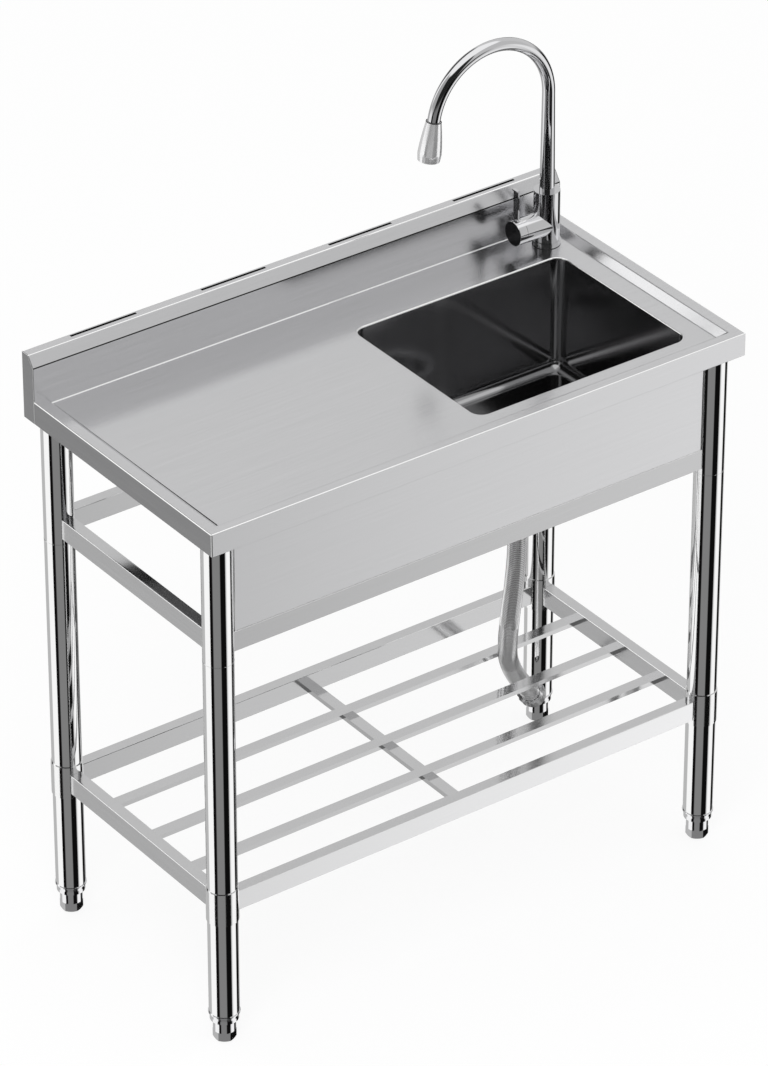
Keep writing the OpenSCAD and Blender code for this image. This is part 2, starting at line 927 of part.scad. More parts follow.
// A dome closes the barrel; the handle's stem comes out through its middle
module cartridge_bonnet() {
    color("lightgray")
        along_barrel()
            difference() {
                union() {
                    intersection() {
                        translate([0, 0, pivot_out])
                            sphere(r = dome_r);
                        translate([0, 0, dome_start])
                            cylinder(d = barrel_d, h = dome_r);
                    }
                    translate([0, 0, dome_start - bonnet_skirt])
                        cylinder(d = cartridge_d, h = bonnet_skirt + past);
                }
                cylinder(d = bonnet_bore_d, h = handle_out);
            }
}

// The ball turns in the cartridge; the handle's stem tilts on the pin across its slot
module handle_pivot() {
    gap_w = tongue_w + 2 * snug;
    gap_h = stem_d + 4;
    color("goldenrod")
        along_barrel()
            translate([0, 0, pivot_out]) {
                difference() {
                    sphere(d = pivot_ball_d);
                    box(-gap_h / 2, gap_h / 2, -gap_w / 2, gap_w / 2,
                        -stem_d / 2 - apart, pivot_ball_d);
                }
                rotate([90, 0, 0])
                    cylinder(d = pin_d, h = pivot_ball_d - 3, center = true);
            }
}

module handle_stem() {
    seat = handle_out - stem_seat();
    tongue_r = stem_d / 2 - apart;
    color("silver")
        along_barrel()
            translate([0, 0, pivot_out])
                difference() {
                    union() {
                        rotate([90, 0, 0])
                            cylinder(r = tongue_r, h = tongue_w, center = true);
                        box(-tongue_r, tongue_r, -tongue_w / 2, tongue_w / 2, 0, tongue_reach + past);
                        translate([0, 0, tongue_reach])
                            cylinder(d = stem_d, h = seat - pivot_out - tongue_reach);
                    }
                    rotate([90, 0, 0])
                        cylinder(d = pin_d + 2 * running, h = tongue_w + 2 * past, center = true);
                }
}

// Distance from the end of the handle to the bottom of the stem's hole in the cap
function stem_seat() = 1.5;

module handle_cap() {
    lever_foot = lever_foot_r();
    color("lightgray")
        along_barrel()
            difference() {
                translate([0, 0, dome_start + apart])
                    cylinder(d = barrel_d, h = handle_out - dome_start - apart);
                translate([0, 0, pivot_out])
                    sphere(r = cap_cavity_r);
                cylinder(d = stem_d, h = handle_out - stem_seat());
                translate([lever_foot, -lever_w / 2, handle_out - lever_in - lever_t])
                    cube([barrel_d, lever_w, lever_t]);
            }
}

// Height above the barrel's axis at which the lever stands in the cap
function lever_foot_r() = barrel_d / 2 - 4;

module lever() {
    foot = lever_foot_r();
    color("lightgray")
        along_barrel()
            translate([0, -lever_w / 2, handle_out - lever_in - lever_t]) {
                translate([foot, 0, 0])
                    cube([lever_h - foot, lever_w, lever_t]);
                translate([lever_h - 2, 0, 0])
                    cube([2, lever_w, lever_t + lever_hook]);
            }
}

// Spout

// Places its children at the end of the spout, with +Z along the flow
module at_spout_end() {
    at_tap()
        translate([-spout_r, 0, spout_rise])
            rotate([0, -spout_turn, 0])
                translate([spout_r, 0, 0])
                    children();
}

module spout() {
    bore = spout_d - 2 * spout_wall;
    color("lightgray")
        difference() {
            union() {
                at_tap() {
                    translate([0, 0, tap_h - spigot_h])
                        cylinder(d = spigot_d, h = spigot_h + past);
                    translate([0, 0, tap_h])
                        cylinder(d1 = spout_foot_d, d2 = spout_d - 2 * bend_step,
                            h = spout_rise + past - tap_h);
                }
                at_tap()
                    translate([-spout_r, 0, spout_rise])
                        rotate([90, 0, 0])
                            rotate_extrude(angle = spout_turn)
                                translate([spout_r, 0])
                                    circle(d = spout_d);
            }
            at_tap()
                translate([0, 0, tap_h - spigot_h - past])
                    cylinder(d = bore - 2 * bend_step, h = spout_rise - tap_h + spigot_h + 2 * past);
            at_tap()
                translate([-spout_r, 0, spout_rise])
                    rotate([90, 0, 0])
                        rotate([0, 0, -past])
                            rotate_extrude(angle = spout_turn + 2 * past)
                                translate([spout_r, 0])
                                    circle(d = bore);
        }
}

// The head swells like a bell and draws in a little at its mouth
module spray_head() {
    water_d = spout_d - 2 * spout_wall;
    flare = (head_d - head_top_d) / 2;
    widest = 0.83 * head_h;
    steps = 8;
    arc = 70;
    bell = [for (k = [0 : steps])
        [head_top_d / 2 + flare * sin(arc * k / steps) / sin(arc), widest * k / steps]];
    color("lightgray")
        at_spout_end()
            difference() {
                rotate_extrude()
                    polygon(concat([[0, 0]], bell, [[head_d / 2 - mouth_lip, head_h], [0, head_h]]));
                translate([0, 0, -past])
                    cylinder(d = water_d, h = head_h + 2 * past);
                translate([0, 0, head_h - aerator_t])
                    cylinder(d = mouth_d, h = aerator_t + past);
            }
}

module aerator() {
    hole_d = 2;
    color("dimgray")
        at_spout_end()
            translate([0, 0, head_h - aerator_t])
                difference() {
                    cylinder(d = mouth_d - 2 * snug, h = aerator_t - apart);
                    for (ring = [1, 2], k = [0 : 6 * ring - 1])
                        rotate([0, 0, 60 * k / ring])
                            translate([3.4 * ring, 0, -past])
                                cylinder(d = hole_d, h = aerator_t + 2 * past);
                }
}

// Drain

// The strainer's body: a flange on the bowl's floor, a cup below it and the outlet
module drain_flange() {
    r = drain_body_d / 2;
    color("silver")
        at_drain(0)
            rotate_extrude()
                polygon([[drain_bore / 2, bowl_floor + drain_flange_t - 1],
                    [drain_bore / 2 + 1, bowl_floor + drain_flange_t],
                    [drain_flange_d / 2 - 1, bowl_floor + drain_flange_t],
                    [drain_flange_d / 2, bowl_floor],
                    [r, bowl_floor], [r, drain_foot],
                    [outlet_d / 2, drain_foot], [outlet_d / 2, outlet_foot],
                    [outlet_d / 2 - outlet_wall, outlet_foot],
                    [outlet_d / 2 - outlet_wall, drain_foot + drain_wall],
                    [drain_bore / 2 - ledge_w, drain_foot + drain_wall],
                    [drain_bore / 2 - ledge_w, bowl_floor - ledge_deep],
                    [drain_bore / 2, bowl_floor - ledge_deep]]);
}

module strainer_basket() {
    rim_r = drain_bore / 2 - apart;
    cup_r = drain_bore / 2 - ledge_w - apart;
    wall = 1;
    rim_z = bowl_floor - ledge_deep;
    floor_z = rim_z - basket_h;
    knob_h = basket_h + 4;
    color("silver")
        at_drain(0)
            difference() {
                rotate_extrude()
                    polygon([[0, floor_z], [cup_r, floor_z], [cup_r, rim_z], [rim_r, rim_z],
                        [rim_r, rim_z + wall], [cup_r - wall, rim_z + wall],
                        [cup_r - wall, floor_z + wall], [6, floor_z + wall],
                        [4, floor_z + knob_h - 3], [8, floor_z + knob_h], [0, floor_z + knob_h]]);
                for (ring = [1 : 3], k = [0 : 8 * ring - 1])
                    rotate([0, 0, 45 * k / ring])
                        translate([4 + 9 * ring, 0, floor_z - past])
                            cylinder(d = 4, h = wall + 2 * past);
            }
}

module drain_gasket() {
    color("black")
        at_drain(bowl_floor - sheet - drain_gasket_t)
            tube(drain_nut_d, drain_body_d + 2 * snug, drain_gasket_t);
}

module drain_lock_nut() {
    color("dimgray")
        at_drain(bowl_floor - sheet - drain_gasket_t - drain_nut_h)
            difference() {
                union() {
                    cylinder(d = drain_nut_d - 3, h = drain_nut_h);
                    grips(drain_nut_d - 3, drain_nut_h);
                }
                translate([0, 0, -past])
                    cylinder(d = drain_body_d + 2 * snug, h = drain_nut_h + 2 * past);
            }
}

module hose_nut() {
    color("dimgray")
        at_drain(outlet_foot)
            difference() {
                translate([0, 0, -hose_nut_h])
                    union() {
                        cylinder(d = hose_nut_d - 3, h = 2 * hose_nut_h);
                        grips(hose_nut_d - 3, 2 * hose_nut_h);
                    }
                cylinder(d = outlet_d + 2 * snug, h = hose_nut_h + past);
                translate([0, 0, -hose_nut_h - past])
                    cylinder(d = hose_d + 2 * apart, h = hose_nut_h + 2 * past);
            }
}

// Ribbed hose: each rib is a ring at full width and a ring in the groove behind it
module drain_hose() {
    half_steps = 2 * ribs_per_step * hose_last;
    bore_steps = 4 * hose_last;
    outer = [for (k = [0 : half_steps])
        each hose_ring(k * hose_last / half_steps, hose_d / 2 - (k % 2) * rib_deep)];
    inner = [for (k = [0 : bore_steps])
        each hose_ring(k * hose_last / bore_steps, hose_bore / 2)];
    first_inner = len(outer);
    n = HOSE_SIDES;
    skin = [for (k = [0 : half_steps - 1], i = [0 : n - 1], half = [0, 1])
        let (a = k * n + i, b = k * n + (i + 1) % n)
        half == 0 ? [a, b, b + n] : [a, b + n, a + n]];
    lining = [for (k = [0 : bore_steps - 1], i = [0 : n - 1], half = [0, 1])
        let (a = first_inner + k * n + i, b = first_inner + k * n + (i + 1) % n)
        half == 0 ? [b, a, b + n] : [b + n, a, a + n]];
    start_face = [for (i = [0 : n - 1], half = [0, 1])
        let (j = (i + 1) % n)
        half == 0 ? [i, first_inner + i, j] : [j, first_inner + i, first_inner + j]];
    last_outer = half_steps * n;
    last_inner = first_inner + bore_steps * n;
    end_face = [for (i = [0 : n - 1], half = [0, 1])
        let (j = (i + 1) % n)
        half == 0 ? [last_outer + i, last_outer + j, last_inner + i]
        : [last_outer + j, last_inner + j, last_inner + i]];
    color("gray")
        polyhedron(points = concat(outer, inner),
            faces = concat(skin, lining, start_face, end_face));
}

module hose_end_nut() {
    tilt = acos(hose_exit[2]);
    heading = atan2(hose_exit[1], hose_exit[0]);
    color("silver")
        translate(hose_end)
            rotate([0, tilt, heading])
                difference() {
                    translate([0, 0, -end_nut_grip])
                        union() {
                            cylinder(d = end_nut_d - 3, h = end_nut_grip + waste_deep);
                            grips(end_nut_d - 3, end_nut_grip + waste_deep / 2);
                        }
                    translate([0, 0, -end_nut_grip - past])
                        cylinder(d = hose_d + 2 * apart, h = end_nut_grip + 2 * past);
                    cylinder(d = waste_d, h = waste_deep + past);
                }
}

worktop();
worktop_ribs();
backsplash();
backsplash_cap(-1);  // backsplash_cap_left
backsplash_cap(1);  // backsplash_cap_right
bowl();
front_panel();
upper_rail_front();
upper_rail_rear();
upper_rail_side(-1);  // upper_rail_left
upper_rail_side(1);  // upper_rail_right
upper_leg(-1, -1);  // upper_leg_front_left
upper_leg(1, -1);  // upper_leg_front_right
upper_leg(-1, 1);  // upper_leg_rear_left
upper_leg(1, 1);  // upper_leg_rear_right
leg_seats();
leg_joiners();
lower_leg(-1, -1);  // lower_leg_front_left
lower_leg(1, -1);  // lower_leg_front_right
lower_leg(-1, 1);  // lower_leg_rear_left
lower_leg(1, 1);  // lower_leg_rear_right
shelf_collars();
collar_screws();
shelf_rail_front();
shelf_rail_rear();
shelf_rail_side(-1);  // shelf_rail_left
shelf_rail_side(1);  // shelf_rail_right
shelf_slat(0);  // shelf_slat_front
shelf_slat(1);  // shelf_slat_middle
shelf_slat(2);  // shelf_slat_rear
shelf_centre_bar();
foot_inserts();
adjustable_foot(-1, -1);  // adjustable_foot_front_left
adjustable_foot(1, -1);  // adjustable_foot_front_right
adjustable_foot(-1, 1);  // adjustable_foot_rear_left
adjustable_foot(1, 1);  // adjustable_foot_rear_right
faucet_body();
faucet_base_ring();
faucet_gasket();
faucet_washer();
faucet_lock_nut();
cartridge();
cartridge_bonnet();
handle_pivot();
handle_stem();
handle_cap();
lever();
spout();
spray_head();
aerator();
drain_flange();
strainer_basket();
drain_gasket();
drain_lock_nut();
hose_nut();
drain_hose();
hose_end_nut();
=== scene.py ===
"""Finishes, folded edges, drain hose and studio for the stainless kitchen sink unit."""

import json
import math

import bmesh
import bpy
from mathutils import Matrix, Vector

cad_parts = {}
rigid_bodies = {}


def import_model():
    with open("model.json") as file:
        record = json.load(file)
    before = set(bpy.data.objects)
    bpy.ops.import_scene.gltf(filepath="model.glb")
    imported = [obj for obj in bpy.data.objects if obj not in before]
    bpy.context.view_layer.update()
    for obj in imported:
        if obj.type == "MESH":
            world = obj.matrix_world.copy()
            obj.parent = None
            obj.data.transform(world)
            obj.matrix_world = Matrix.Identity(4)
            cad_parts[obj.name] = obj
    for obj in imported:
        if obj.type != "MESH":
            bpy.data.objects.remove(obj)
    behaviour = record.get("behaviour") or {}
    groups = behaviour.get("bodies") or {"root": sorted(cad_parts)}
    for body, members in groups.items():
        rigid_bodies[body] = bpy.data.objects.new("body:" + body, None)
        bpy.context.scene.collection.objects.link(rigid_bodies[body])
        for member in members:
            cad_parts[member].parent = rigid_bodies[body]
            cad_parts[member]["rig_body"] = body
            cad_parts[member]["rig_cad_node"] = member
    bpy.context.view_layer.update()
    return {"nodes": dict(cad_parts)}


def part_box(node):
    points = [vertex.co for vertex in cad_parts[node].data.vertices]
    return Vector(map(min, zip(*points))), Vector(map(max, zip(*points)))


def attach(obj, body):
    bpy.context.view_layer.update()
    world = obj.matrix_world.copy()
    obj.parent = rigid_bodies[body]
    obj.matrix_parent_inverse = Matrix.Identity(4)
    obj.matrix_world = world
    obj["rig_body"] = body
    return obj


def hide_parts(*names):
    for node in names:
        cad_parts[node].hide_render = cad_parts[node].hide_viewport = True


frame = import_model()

bl_info = {
    "name": "Kitchen sink unit",
    "version": (1, 0, 0),
    "blender": (4, 5, 0),
    "location": "View3D > Sidebar > Sink unit",
    "description": "Dresses the packed sink unit: steel finishes, folded edges, drain hose and studio",
    "category": "Object",
}

NODES = frame["nodes"]

# Turn between two facets of a bend, in degrees, above which an edge counts as sharp, here and on the rails
SHARPEST_STEP = 32
RAIL_STEP = 50
# Distance within which a point counts as lying on a plane, and within which points are merged, in metres
NEAR = 0.0003
MERGED = 0.00001
# Turn between two faces, in degrees, below which they count as one flat
FLAT_STEP = 0.5
# Height of the deck above the lowest edge of the backsplash, in metres
BACKSPLASH_FOOT = 0.027
# Size of the ground weld along the foot of the backsplash, and how far it stops short of the ends
WELD_SIZE = 0.0014
WELD_SHORT = 0.001
# Share of the ground weld's size that is hollowed out, and the form of the hollow
WELD_HOLLOW = 0.94
WELD_PROFILE = 0.12
# Thickness of the sheet, and how far in from the edge of its flange the bowl makes room for the rim
SHEET = 0.0012
BOWL_LIP = 0.0055
# Share of the sheet's fold radius that its tight folds have
TIGHT_FOLD = 0.6
# Radius of the bends on the backsplash's end caps and on the end of the tap's handle
CAP_BEND = 0.0005
HANDLE_BEND = 0.0006
# Where the spray head meets the spout, and how far round the spout bends, in degrees
SPOUT_END = (0.21573, 0.1755, 1.21756)
SPOUT_TURN = 171.5
# Seam between the two: radius of its middle line, radius of its round, and how much it is flattened
SEAM_RADIUS = 0.0118
SEAM_ROUND = 0.0008
SEAM_FLATTENED = 0.7
# Height of the brushed grain, in metres, and how fine the speckle on rubber and plastic is
GRAIN_HEIGHT = 0.00002
SPECKLE = (900, 900, 900)

# Route of the drain hose in millimetres, from the outlet to the loose end
HOSE_ROUTE = [
    (230, -31, 666),
    (230, -31, 602),
    (230, -31, 538.5),
    (231, -24, 475),
    (236, -9, 413),
    (246, 10, 352),
    (264, 34, 295),
    (293, 62, 245),
    (327, 89, 197),
    (363, 118, 154),
    (404, 151, 105),
]


# Sizes and colours that a user would change

class SinkSteel(bpy.types.PropertyGroup):
    sheet_colour: bpy.props.FloatVectorProperty(
        name="Sheet colour", description="Colour of the brushed sheet steel",
        subtype="COLOR", size=3, min=0, max=1, default=(0.76, 0.76, 0.77))
    # Darker copy of the sheet colour for the end faces and end caps: painted shade; the grain there runs from
    # front to back
    end_shade_colour: bpy.props.FloatVectorProperty(
        name="End colour",
        description="Colour of the sheet steel at the unit's ends, brushed from front to back, darkened as painted shade",
        subtype="COLOR", size=3, min=0, max=1, default=(0.40, 0.40, 0.405))
    # Bright colour for the rounded bends: a painted highlight
    bend_highlight_colour: bpy.props.FloatVectorProperty(
        name="Bend colour", description="Colour of the painted highlight on the bends in sheet and rails",
        subtype="COLOR", size=3, min=0, max=1, default=(0.95, 0.95, 0.95))
    rail_colour: bpy.props.FloatVectorProperty(
        name="Rail colour", description="Colour of the rails, slats and bar",
        subtype="COLOR", size=3, min=0, max=1, default=(0.71, 0.71, 0.715))
    leg_colour: bpy.props.FloatVectorProperty(
        name="Leg colour", description="Colour of the mirror-polished legs",
        subtype="COLOR", size=3, min=0, max=1, default=(0.92, 0.92, 0.92))
    bowl_colour: bpy.props.FloatVectorProperty(
        name="Bowl colour", description="Colour of the polished bowl",
        subtype="COLOR", size=3, min=0, max=1, default=(0.38, 0.38, 0.385))
    chrome_colour: bpy.props.FloatVectorProperty(
        name="Chrome colour", description="Colour of the chromed tap",
        subtype="COLOR", size=3, min=0, max=1, default=(0.74, 0.74, 0.75))
    brush_depth: bpy.props.FloatProperty(
        name="Brush depth", description="Strength of the brushed grain",
        subtype="FACTOR", min=0, max=1, default=0.5)


class SinkFolds(bpy.types.PropertyGroup):
    sheet_bend: bpy.props.FloatProperty(
        name="Sheet bend", description="Radius of the folds in the sheet",
        subtype="DISTANCE", unit="LENGTH", min=0.0004, max=0.003, default=0.0018)
    step_bend: bpy.props.FloatProperty(
        name="Step bend", description="Radius of the folds along the sloping step of the worktop",
        subtype="DISTANCE", unit="LENGTH", min=0.0004, max=0.004, default=0.0018)
    rim_bend: bpy.props.FloatProperty(
        name="Bowl rim bend", description="Radius of the rim round the bowl's mouth",
        subtype="DISTANCE", unit="LENGTH", min=0.0012, max=0.003, default=0.0023)


class SinkHose(bpy.types.PropertyGroup):
    width: bpy.props.FloatProperty(
        name="Width", description="Outer diameter of the hose",
        subtype="DISTANCE", unit="LENGTH", min=0.02, max=0.04, default=0.032)
    groove: bpy.props.FloatProperty(
        name="Groove", description="Depth of the grooves between the ribs",
        subtype="DISTANCE", unit="LENGTH", min=0, max=0.002, default=0.0013)
    ribs: bpy.props.IntProperty(
        name="Ribs", description="Number of ribs along the hose", min=40, max=220, default=180)
    sides: bpy.props.IntProperty(
        name="Sides", description="Number of faces round the hose", min=12, max=48, default=28)


class SinkStudio(bpy.types.PropertyGroup):
    floor_size: bpy.props.FloatProperty(
        name="Floor size", description="Width of the studio floor",
        subtype="DISTANCE", unit="LENGTH", min=4, max=60, default=40)
    daylight: bpy.props.FloatProperty(
        name="Daylight", description="Level of the even light on matt surfaces",
        min=0, max=2, default=0.95)
    key_power: bpy.props.FloatProperty(
        name="Key lamp", description="Power of the soft lamp above the left front corner",
        subtype="POWER", unit="POWER", min=0, max=500, default=60)


# Small helpers

def only(*objects):
    """Selects these objects alone and makes the first of them active."""
    bpy.ops.object.select_all(action="DESELECT")
    for piece in objects:
        piece.select_set(True)
    bpy.context.view_layer.objects.active = objects[0]


def settle(piece, body="sink_unit"):
    """Puts the piece's place into its mesh and hangs it on its body."""
    only(piece)
    bpy.ops.object.transform_apply(location=True, rotation=True, scale=True)
    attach(piece, body)


def link(tree, source, target):
    tree.links.new(source, target)


def put(tree, kind, place, **values):
    """Adds a node at a place on the board and sets its plain attributes."""
    made = tree.nodes.new(kind)
    made.location = place
    for name, value in values.items():
        setattr(made, name, value)
    return made


def dial(node, values):
    """Sets the node's inputs, each by its name or number."""
    for name, value in values.items():
        node.inputs[name].default_value = value


# Node groups shared by the finishes

def new_group(name, inputs, outputs):
    tree = bpy.data.node_groups.new(name, "ShaderNodeTree")
    for label, kind, default in inputs:
        socket = tree.interface.new_socket(name=label, in_out="INPUT", socket_type=kind)
        if default is not None:
            socket.default_value = default
    for label, kind in outputs:
        tree.interface.new_socket(name=label, in_out="OUTPUT", socket_type=kind)
    return tree, put(tree, "NodeGroupInput", (-900, 0)), put(tree, "NodeGroupOutput", (700, 0))


def brushed_grain_group():
    """Fine lines that run the long way of the vector, with a faint cross grain."""
    if "Brushed grain" in bpy.data.node_groups:
        return bpy.data.node_groups["Brushed grain"]
    tree, enter, leave = new_group(
        "Brushed grain",
        [("Vector", "NodeSocketVector", None), ("Colour", "NodeSocketColor", (0.7, 0.7, 0.7, 1)),
         ("Contrast", "NodeSocketFloat", 0.08), ("Roughness", "NodeSocketFloat", 0.25),
         ("Spread", "NodeSocketFloat", 0.06)],
        [("Colour", "NodeSocketColor"), ("Roughness", "NodeSocketFloat"), ("Height", "NodeSocketFloat")])
    lines = put(tree, "ShaderNodeTexNoise", (-650, 150))
    dial(lines, {"Scale": 1.0, "Detail": 5.0, "Roughness": 0.6})
    link(tree, enter.outputs["Vector"], lines.inputs["Vector"])
    patches = put(tree, "ShaderNodeTexNoise", (-650, -150))
    dial(patches, {"Scale": 0.3, "Detail": 2.0})
    link(tree, enter.outputs["Vector"], patches.inputs["Vector"])
    both = put(tree, "ShaderNodeMath", (-540, 0), operation="MULTIPLY_ADD")
    dial(both, {1: 0.25})
    link(tree, patches.outputs["Fac"], both.inputs[0])
    link(tree, lines.outputs["Fac"], both.inputs[2])
    centred = put(tree, "ShaderNodeMath", (-430, 150), operation="SUBTRACT")
    dial(centred, {1: 0.625})
    link(tree, both.outputs[0], centred.inputs[0])
    shade = put(tree, "ShaderNodeMath", (-230, 220), operation="MULTIPLY_ADD")
    link(tree, centred.outputs[0], shade.inputs[0])
    link(tree, enter.outputs["Contrast"], shade.inputs[1])
    dial(shade, {2: 1.0})
    tint = put(tree, "ShaderNodeVectorMath", (0, 200), operation="SCALE")
    link(tree, enter.outputs["Colour"], tint.inputs[0])
    link(tree, shade.outputs[0], tint.inputs["Scale"])
    rough = put(tree, "ShaderNodeMath", (0, 0), operation="MULTIPLY_ADD", use_clamp=True)
    link(tree, centred.outputs[0], rough.inputs[0])
    link(tree, enter.outputs["Spread"], rough.inputs[1])
    link(tree, enter.outputs["Roughness"], rough.inputs[2])
    link(tree, tint.outputs[0], leave.inputs["Colour"])
    link(tree, rough.outputs[0], leave.inputs["Roughness"])
    link(tree, lines.outputs["Fac"], leave.inputs["Height"])
    return tree


def wiped_marks_group():
    """Soft clouds of slightly rougher metal, as wiping leaves them."""
    if "Wiped marks" in bpy.data.node_groups:
        return bpy.data.node_groups["Wiped marks"]
    tree, enter, leave = new_group(
        "Wiped marks",
        [("Vector", "NodeSocketVector", None), ("Size", "NodeSocketFloat", 6.0),
         ("Roughness", "NodeSocketFloat", 0.1), ("Amount", "NodeSocketFloat", 0.05)],
        [("Roughness", "NodeSocketFloat")])
    clouds = put(tree, "ShaderNodeTexNoise", (-650, 0))
    dial(clouds, {"Detail": 3.0})
    link(tree, enter.outputs["Vector"], clouds.inputs["Vector"])
    link(tree, enter.outputs["Size"], clouds.inputs["Scale"])
    spread = put(tree, "ShaderNodeMath", (-200, 0), operation="MULTIPLY_ADD", use_clamp=True)
    link(tree, clouds.outputs["Fac"], spread.inputs[0])
    link(tree, enter.outputs["Amount"], spread.inputs[1])
    link(tree, enter.outputs["Roughness"], spread.inputs[2])
    link(tree, spread.outputs[0], leave.inputs["Roughness"])
    return tree


# Finishes

def bare_finish(name):
    """A new material with its shader, ready for its colours."""
    finish = bpy.data.materials.new(name)
    finish.use_nodes = True
    tree = finish.node_tree
    tree.nodes.clear()
    out = put(tree, "ShaderNodeOutputMaterial", (500, 0))
    shader = put(tree, "ShaderNodeBsdfPrincipled", (200, 0))
    link(tree, shader.outputs["BSDF"], out.inputs["Surface"])
    return finish, tree, shader


def add_grain(tree, shader, stretch, colour, contrast, roughness, spread):
    """Lets the brushed grain drive the shader's colour and roughness, and returns its group node."""
    place = put(tree, "ShaderNodeTexCoord", (-900, 0))
    mapping = put(tree, "ShaderNodeMapping", (-700, 0))
    dial(mapping, {"Scale": stretch})
    link(tree, place.outputs["Object"], mapping.inputs["Vector"])
    grain = put(tree, "ShaderNodeGroup", (-450, 0), node_tree=brushed_grain_group())
    dial(grain, {"Colour": (*colour, 1), "Contrast": contrast, "Roughness": roughness, "Spread": spread})
    link(tree, mapping.outputs["Vector"], grain.inputs["Vector"])
    link(tree, grain.outputs["Colour"], shader.inputs["Base Color"])
    link(tree, grain.outputs["Roughness"], shader.inputs["Roughness"])
    return grain


def grained_steel(name, colour, stretch, roughness, spread, contrast, depth):
    """Brushed steel whose grain runs along the axis with the smallest stretch."""
    finish, tree, shader = bare_finish(name)
    dial(shader, {"Metallic": 1.0})
    grain = add_grain(tree, shader, stretch, colour, contrast, roughness, spread)
    bump = put(tree, "ShaderNodeBump", (-50, -250))
    dial(bump, {"Strength": depth, "Distance": GRAIN_HEIGHT})
    link(tree, grain.outputs["Height"], bump.inputs["Height"])
    link(tree, bump.outputs["Normal"], shader.inputs["Normal"])


def polished_metal(name, colour, roughness, amount=0.04, metallic=1.0):
    """Mirror-like metal with faint wiped marks, or a bright metal coat on plastic."""
    finish, tree, shader = bare_finish(name)
    dial(shader, {"Metallic": metallic, "Base Color": (*colour, 1)})
    place = put(tree, "ShaderNodeTexCoord", (-700, 0))
    marks = put(tree, "ShaderNodeGroup", (-450, 0), node_tree=wiped_marks_group())
    dial(marks, {"Roughness": roughness, "Amount": amount})
    link(tree, place.outputs["Object"], marks.inputs["Vector"])
    link(tree, marks.outputs["Roughness"], shader.inputs["Roughness"])


def plain_finish(name, colour, roughness):
    """Matt rubber or plastic with a fine speckle."""
    finish, tree, shader = bare_finish(name)
    add_grain(tree, shader, SPECKLE, colour, contrast=0.1, roughness=roughness, spread=0.1)


def scaled(colour, share):
    """The colour with each of its parts scaled, and kept within 1."""
    return tuple(min(part * share, 1) for part in colour)


def make_finishes(steel):
    """Makes all the finishes once."""
    if "Sheet steel" in bpy.data.materials:
        return
    sheet = tuple(steel.sheet_colour)
    rail = tuple(steel.rail_colour)
    leg = tuple(steel.leg_colour)
    depth = steel.brush_depth
    grained_steel("Sheet steel", sheet, (8, 260, 260), 0.20, 0.08, 0.12, depth)
    # Painted shade: a darker copy of the sheet steel for the ends
    grained_steel("End steel, painted shade", tuple(steel.end_shade_colour), (260, 8, 260), 0.20, 0.10, 0.16, depth)
    # Painted highlight: bright polished finish for the rounded bends
    polished_metal("Bend highlight, painted", tuple(steel.bend_highlight_colour), 0.08, 0.04)
    grained_steel("Rail steel", rail, (30, 30, 400), 0.12, 0.06, 0.08, depth)
    # Lit and shaded copies of the rail steel for faces that look one way: painted light and shade
    grained_steel("Rail steel, upper front, painted shade", scaled(rail, 0.87), (8, 400, 400), 0.14, 0.06, 0.10, depth)
    grained_steel("Rail steel, lower front, painted light", scaled(rail, 1.34), (8, 400, 400), 0.12, 0.06, 0.06, depth)
    grained_steel("Rail steel, outer side, painted light", scaled(rail, 1.04), (400, 8, 400), 0.16, 0.06, 0.12, depth)
    grained_steel("Rail steel, inner side, painted shade", scaled(rail, 0.85), (400, 8, 400), 0.16, 0.06, 0.12, depth)
    # Painted shade: a near-black matt finish put where shade falls
    plain_finish("Painted shade black", (0.004, 0.004, 0.004), 0.8)
    polished_metal("Cap face steel", (0.10, 0.10, 0.105), 0.22, 0.06)
    polished_metal("Leg steel", leg, 0.04, 0.02)
    polished_metal("Collar steel", leg, 0.10, 0.04)
    polished_metal("Foot steel", (0.88, 0.88, 0.89), 0.06, 0.04)
    polished_metal("Bowl steel", tuple(steel.bowl_colour), 0.09, 0.06)
    polished_metal("Tap chrome", tuple(steel.chrome_colour), 0.03, 0.03)
    polished_metal("Head chrome", (0.88, 0.88, 0.885), 0.10, 0.04, metallic=0.72)
    polished_metal("Hose steel", (0.96, 0.96, 0.965), 0.08, 0.06, metallic=0.72)
    # Painted shade: darker finish for the hose's grooves
    polished_metal("Groove steel, painted shade", (0.28, 0.28, 0.28), 0.20, 0.06, metallic=0.6)
    polished_metal("Nut chrome", (0.95, 0.95, 0.955), 0.06, 0.04)
    grained_steel("Drain steel", (0.66, 0.66, 0.67), (200, 200, 200), 0.2, 0.08, 0.1, depth)
    polished_metal("Turned brass", (0.70, 0.56, 0.30), 0.25, 0.05)
    plain_finish("Gasket rubber", (0.02, 0.02, 0.02), 0.7)
    plain_finish("Dark plastic", (0.05, 0.05, 0.055), 0.45)


def dress(piece, *names):
    """Gives the piece these finishes, the first of them on every face."""
    piece.data.materials.clear()
    for name in names:
        piece.data.materials.append(bpy.data.materials[name])


def paint_faces(piece, slot, chosen):
    """Puts the finish in this slot on the faces for which chosen(centre, normal) holds."""
    for face in piece.data.polygons:
        if chosen(face.center, face.normal):
            face.material_index = slot


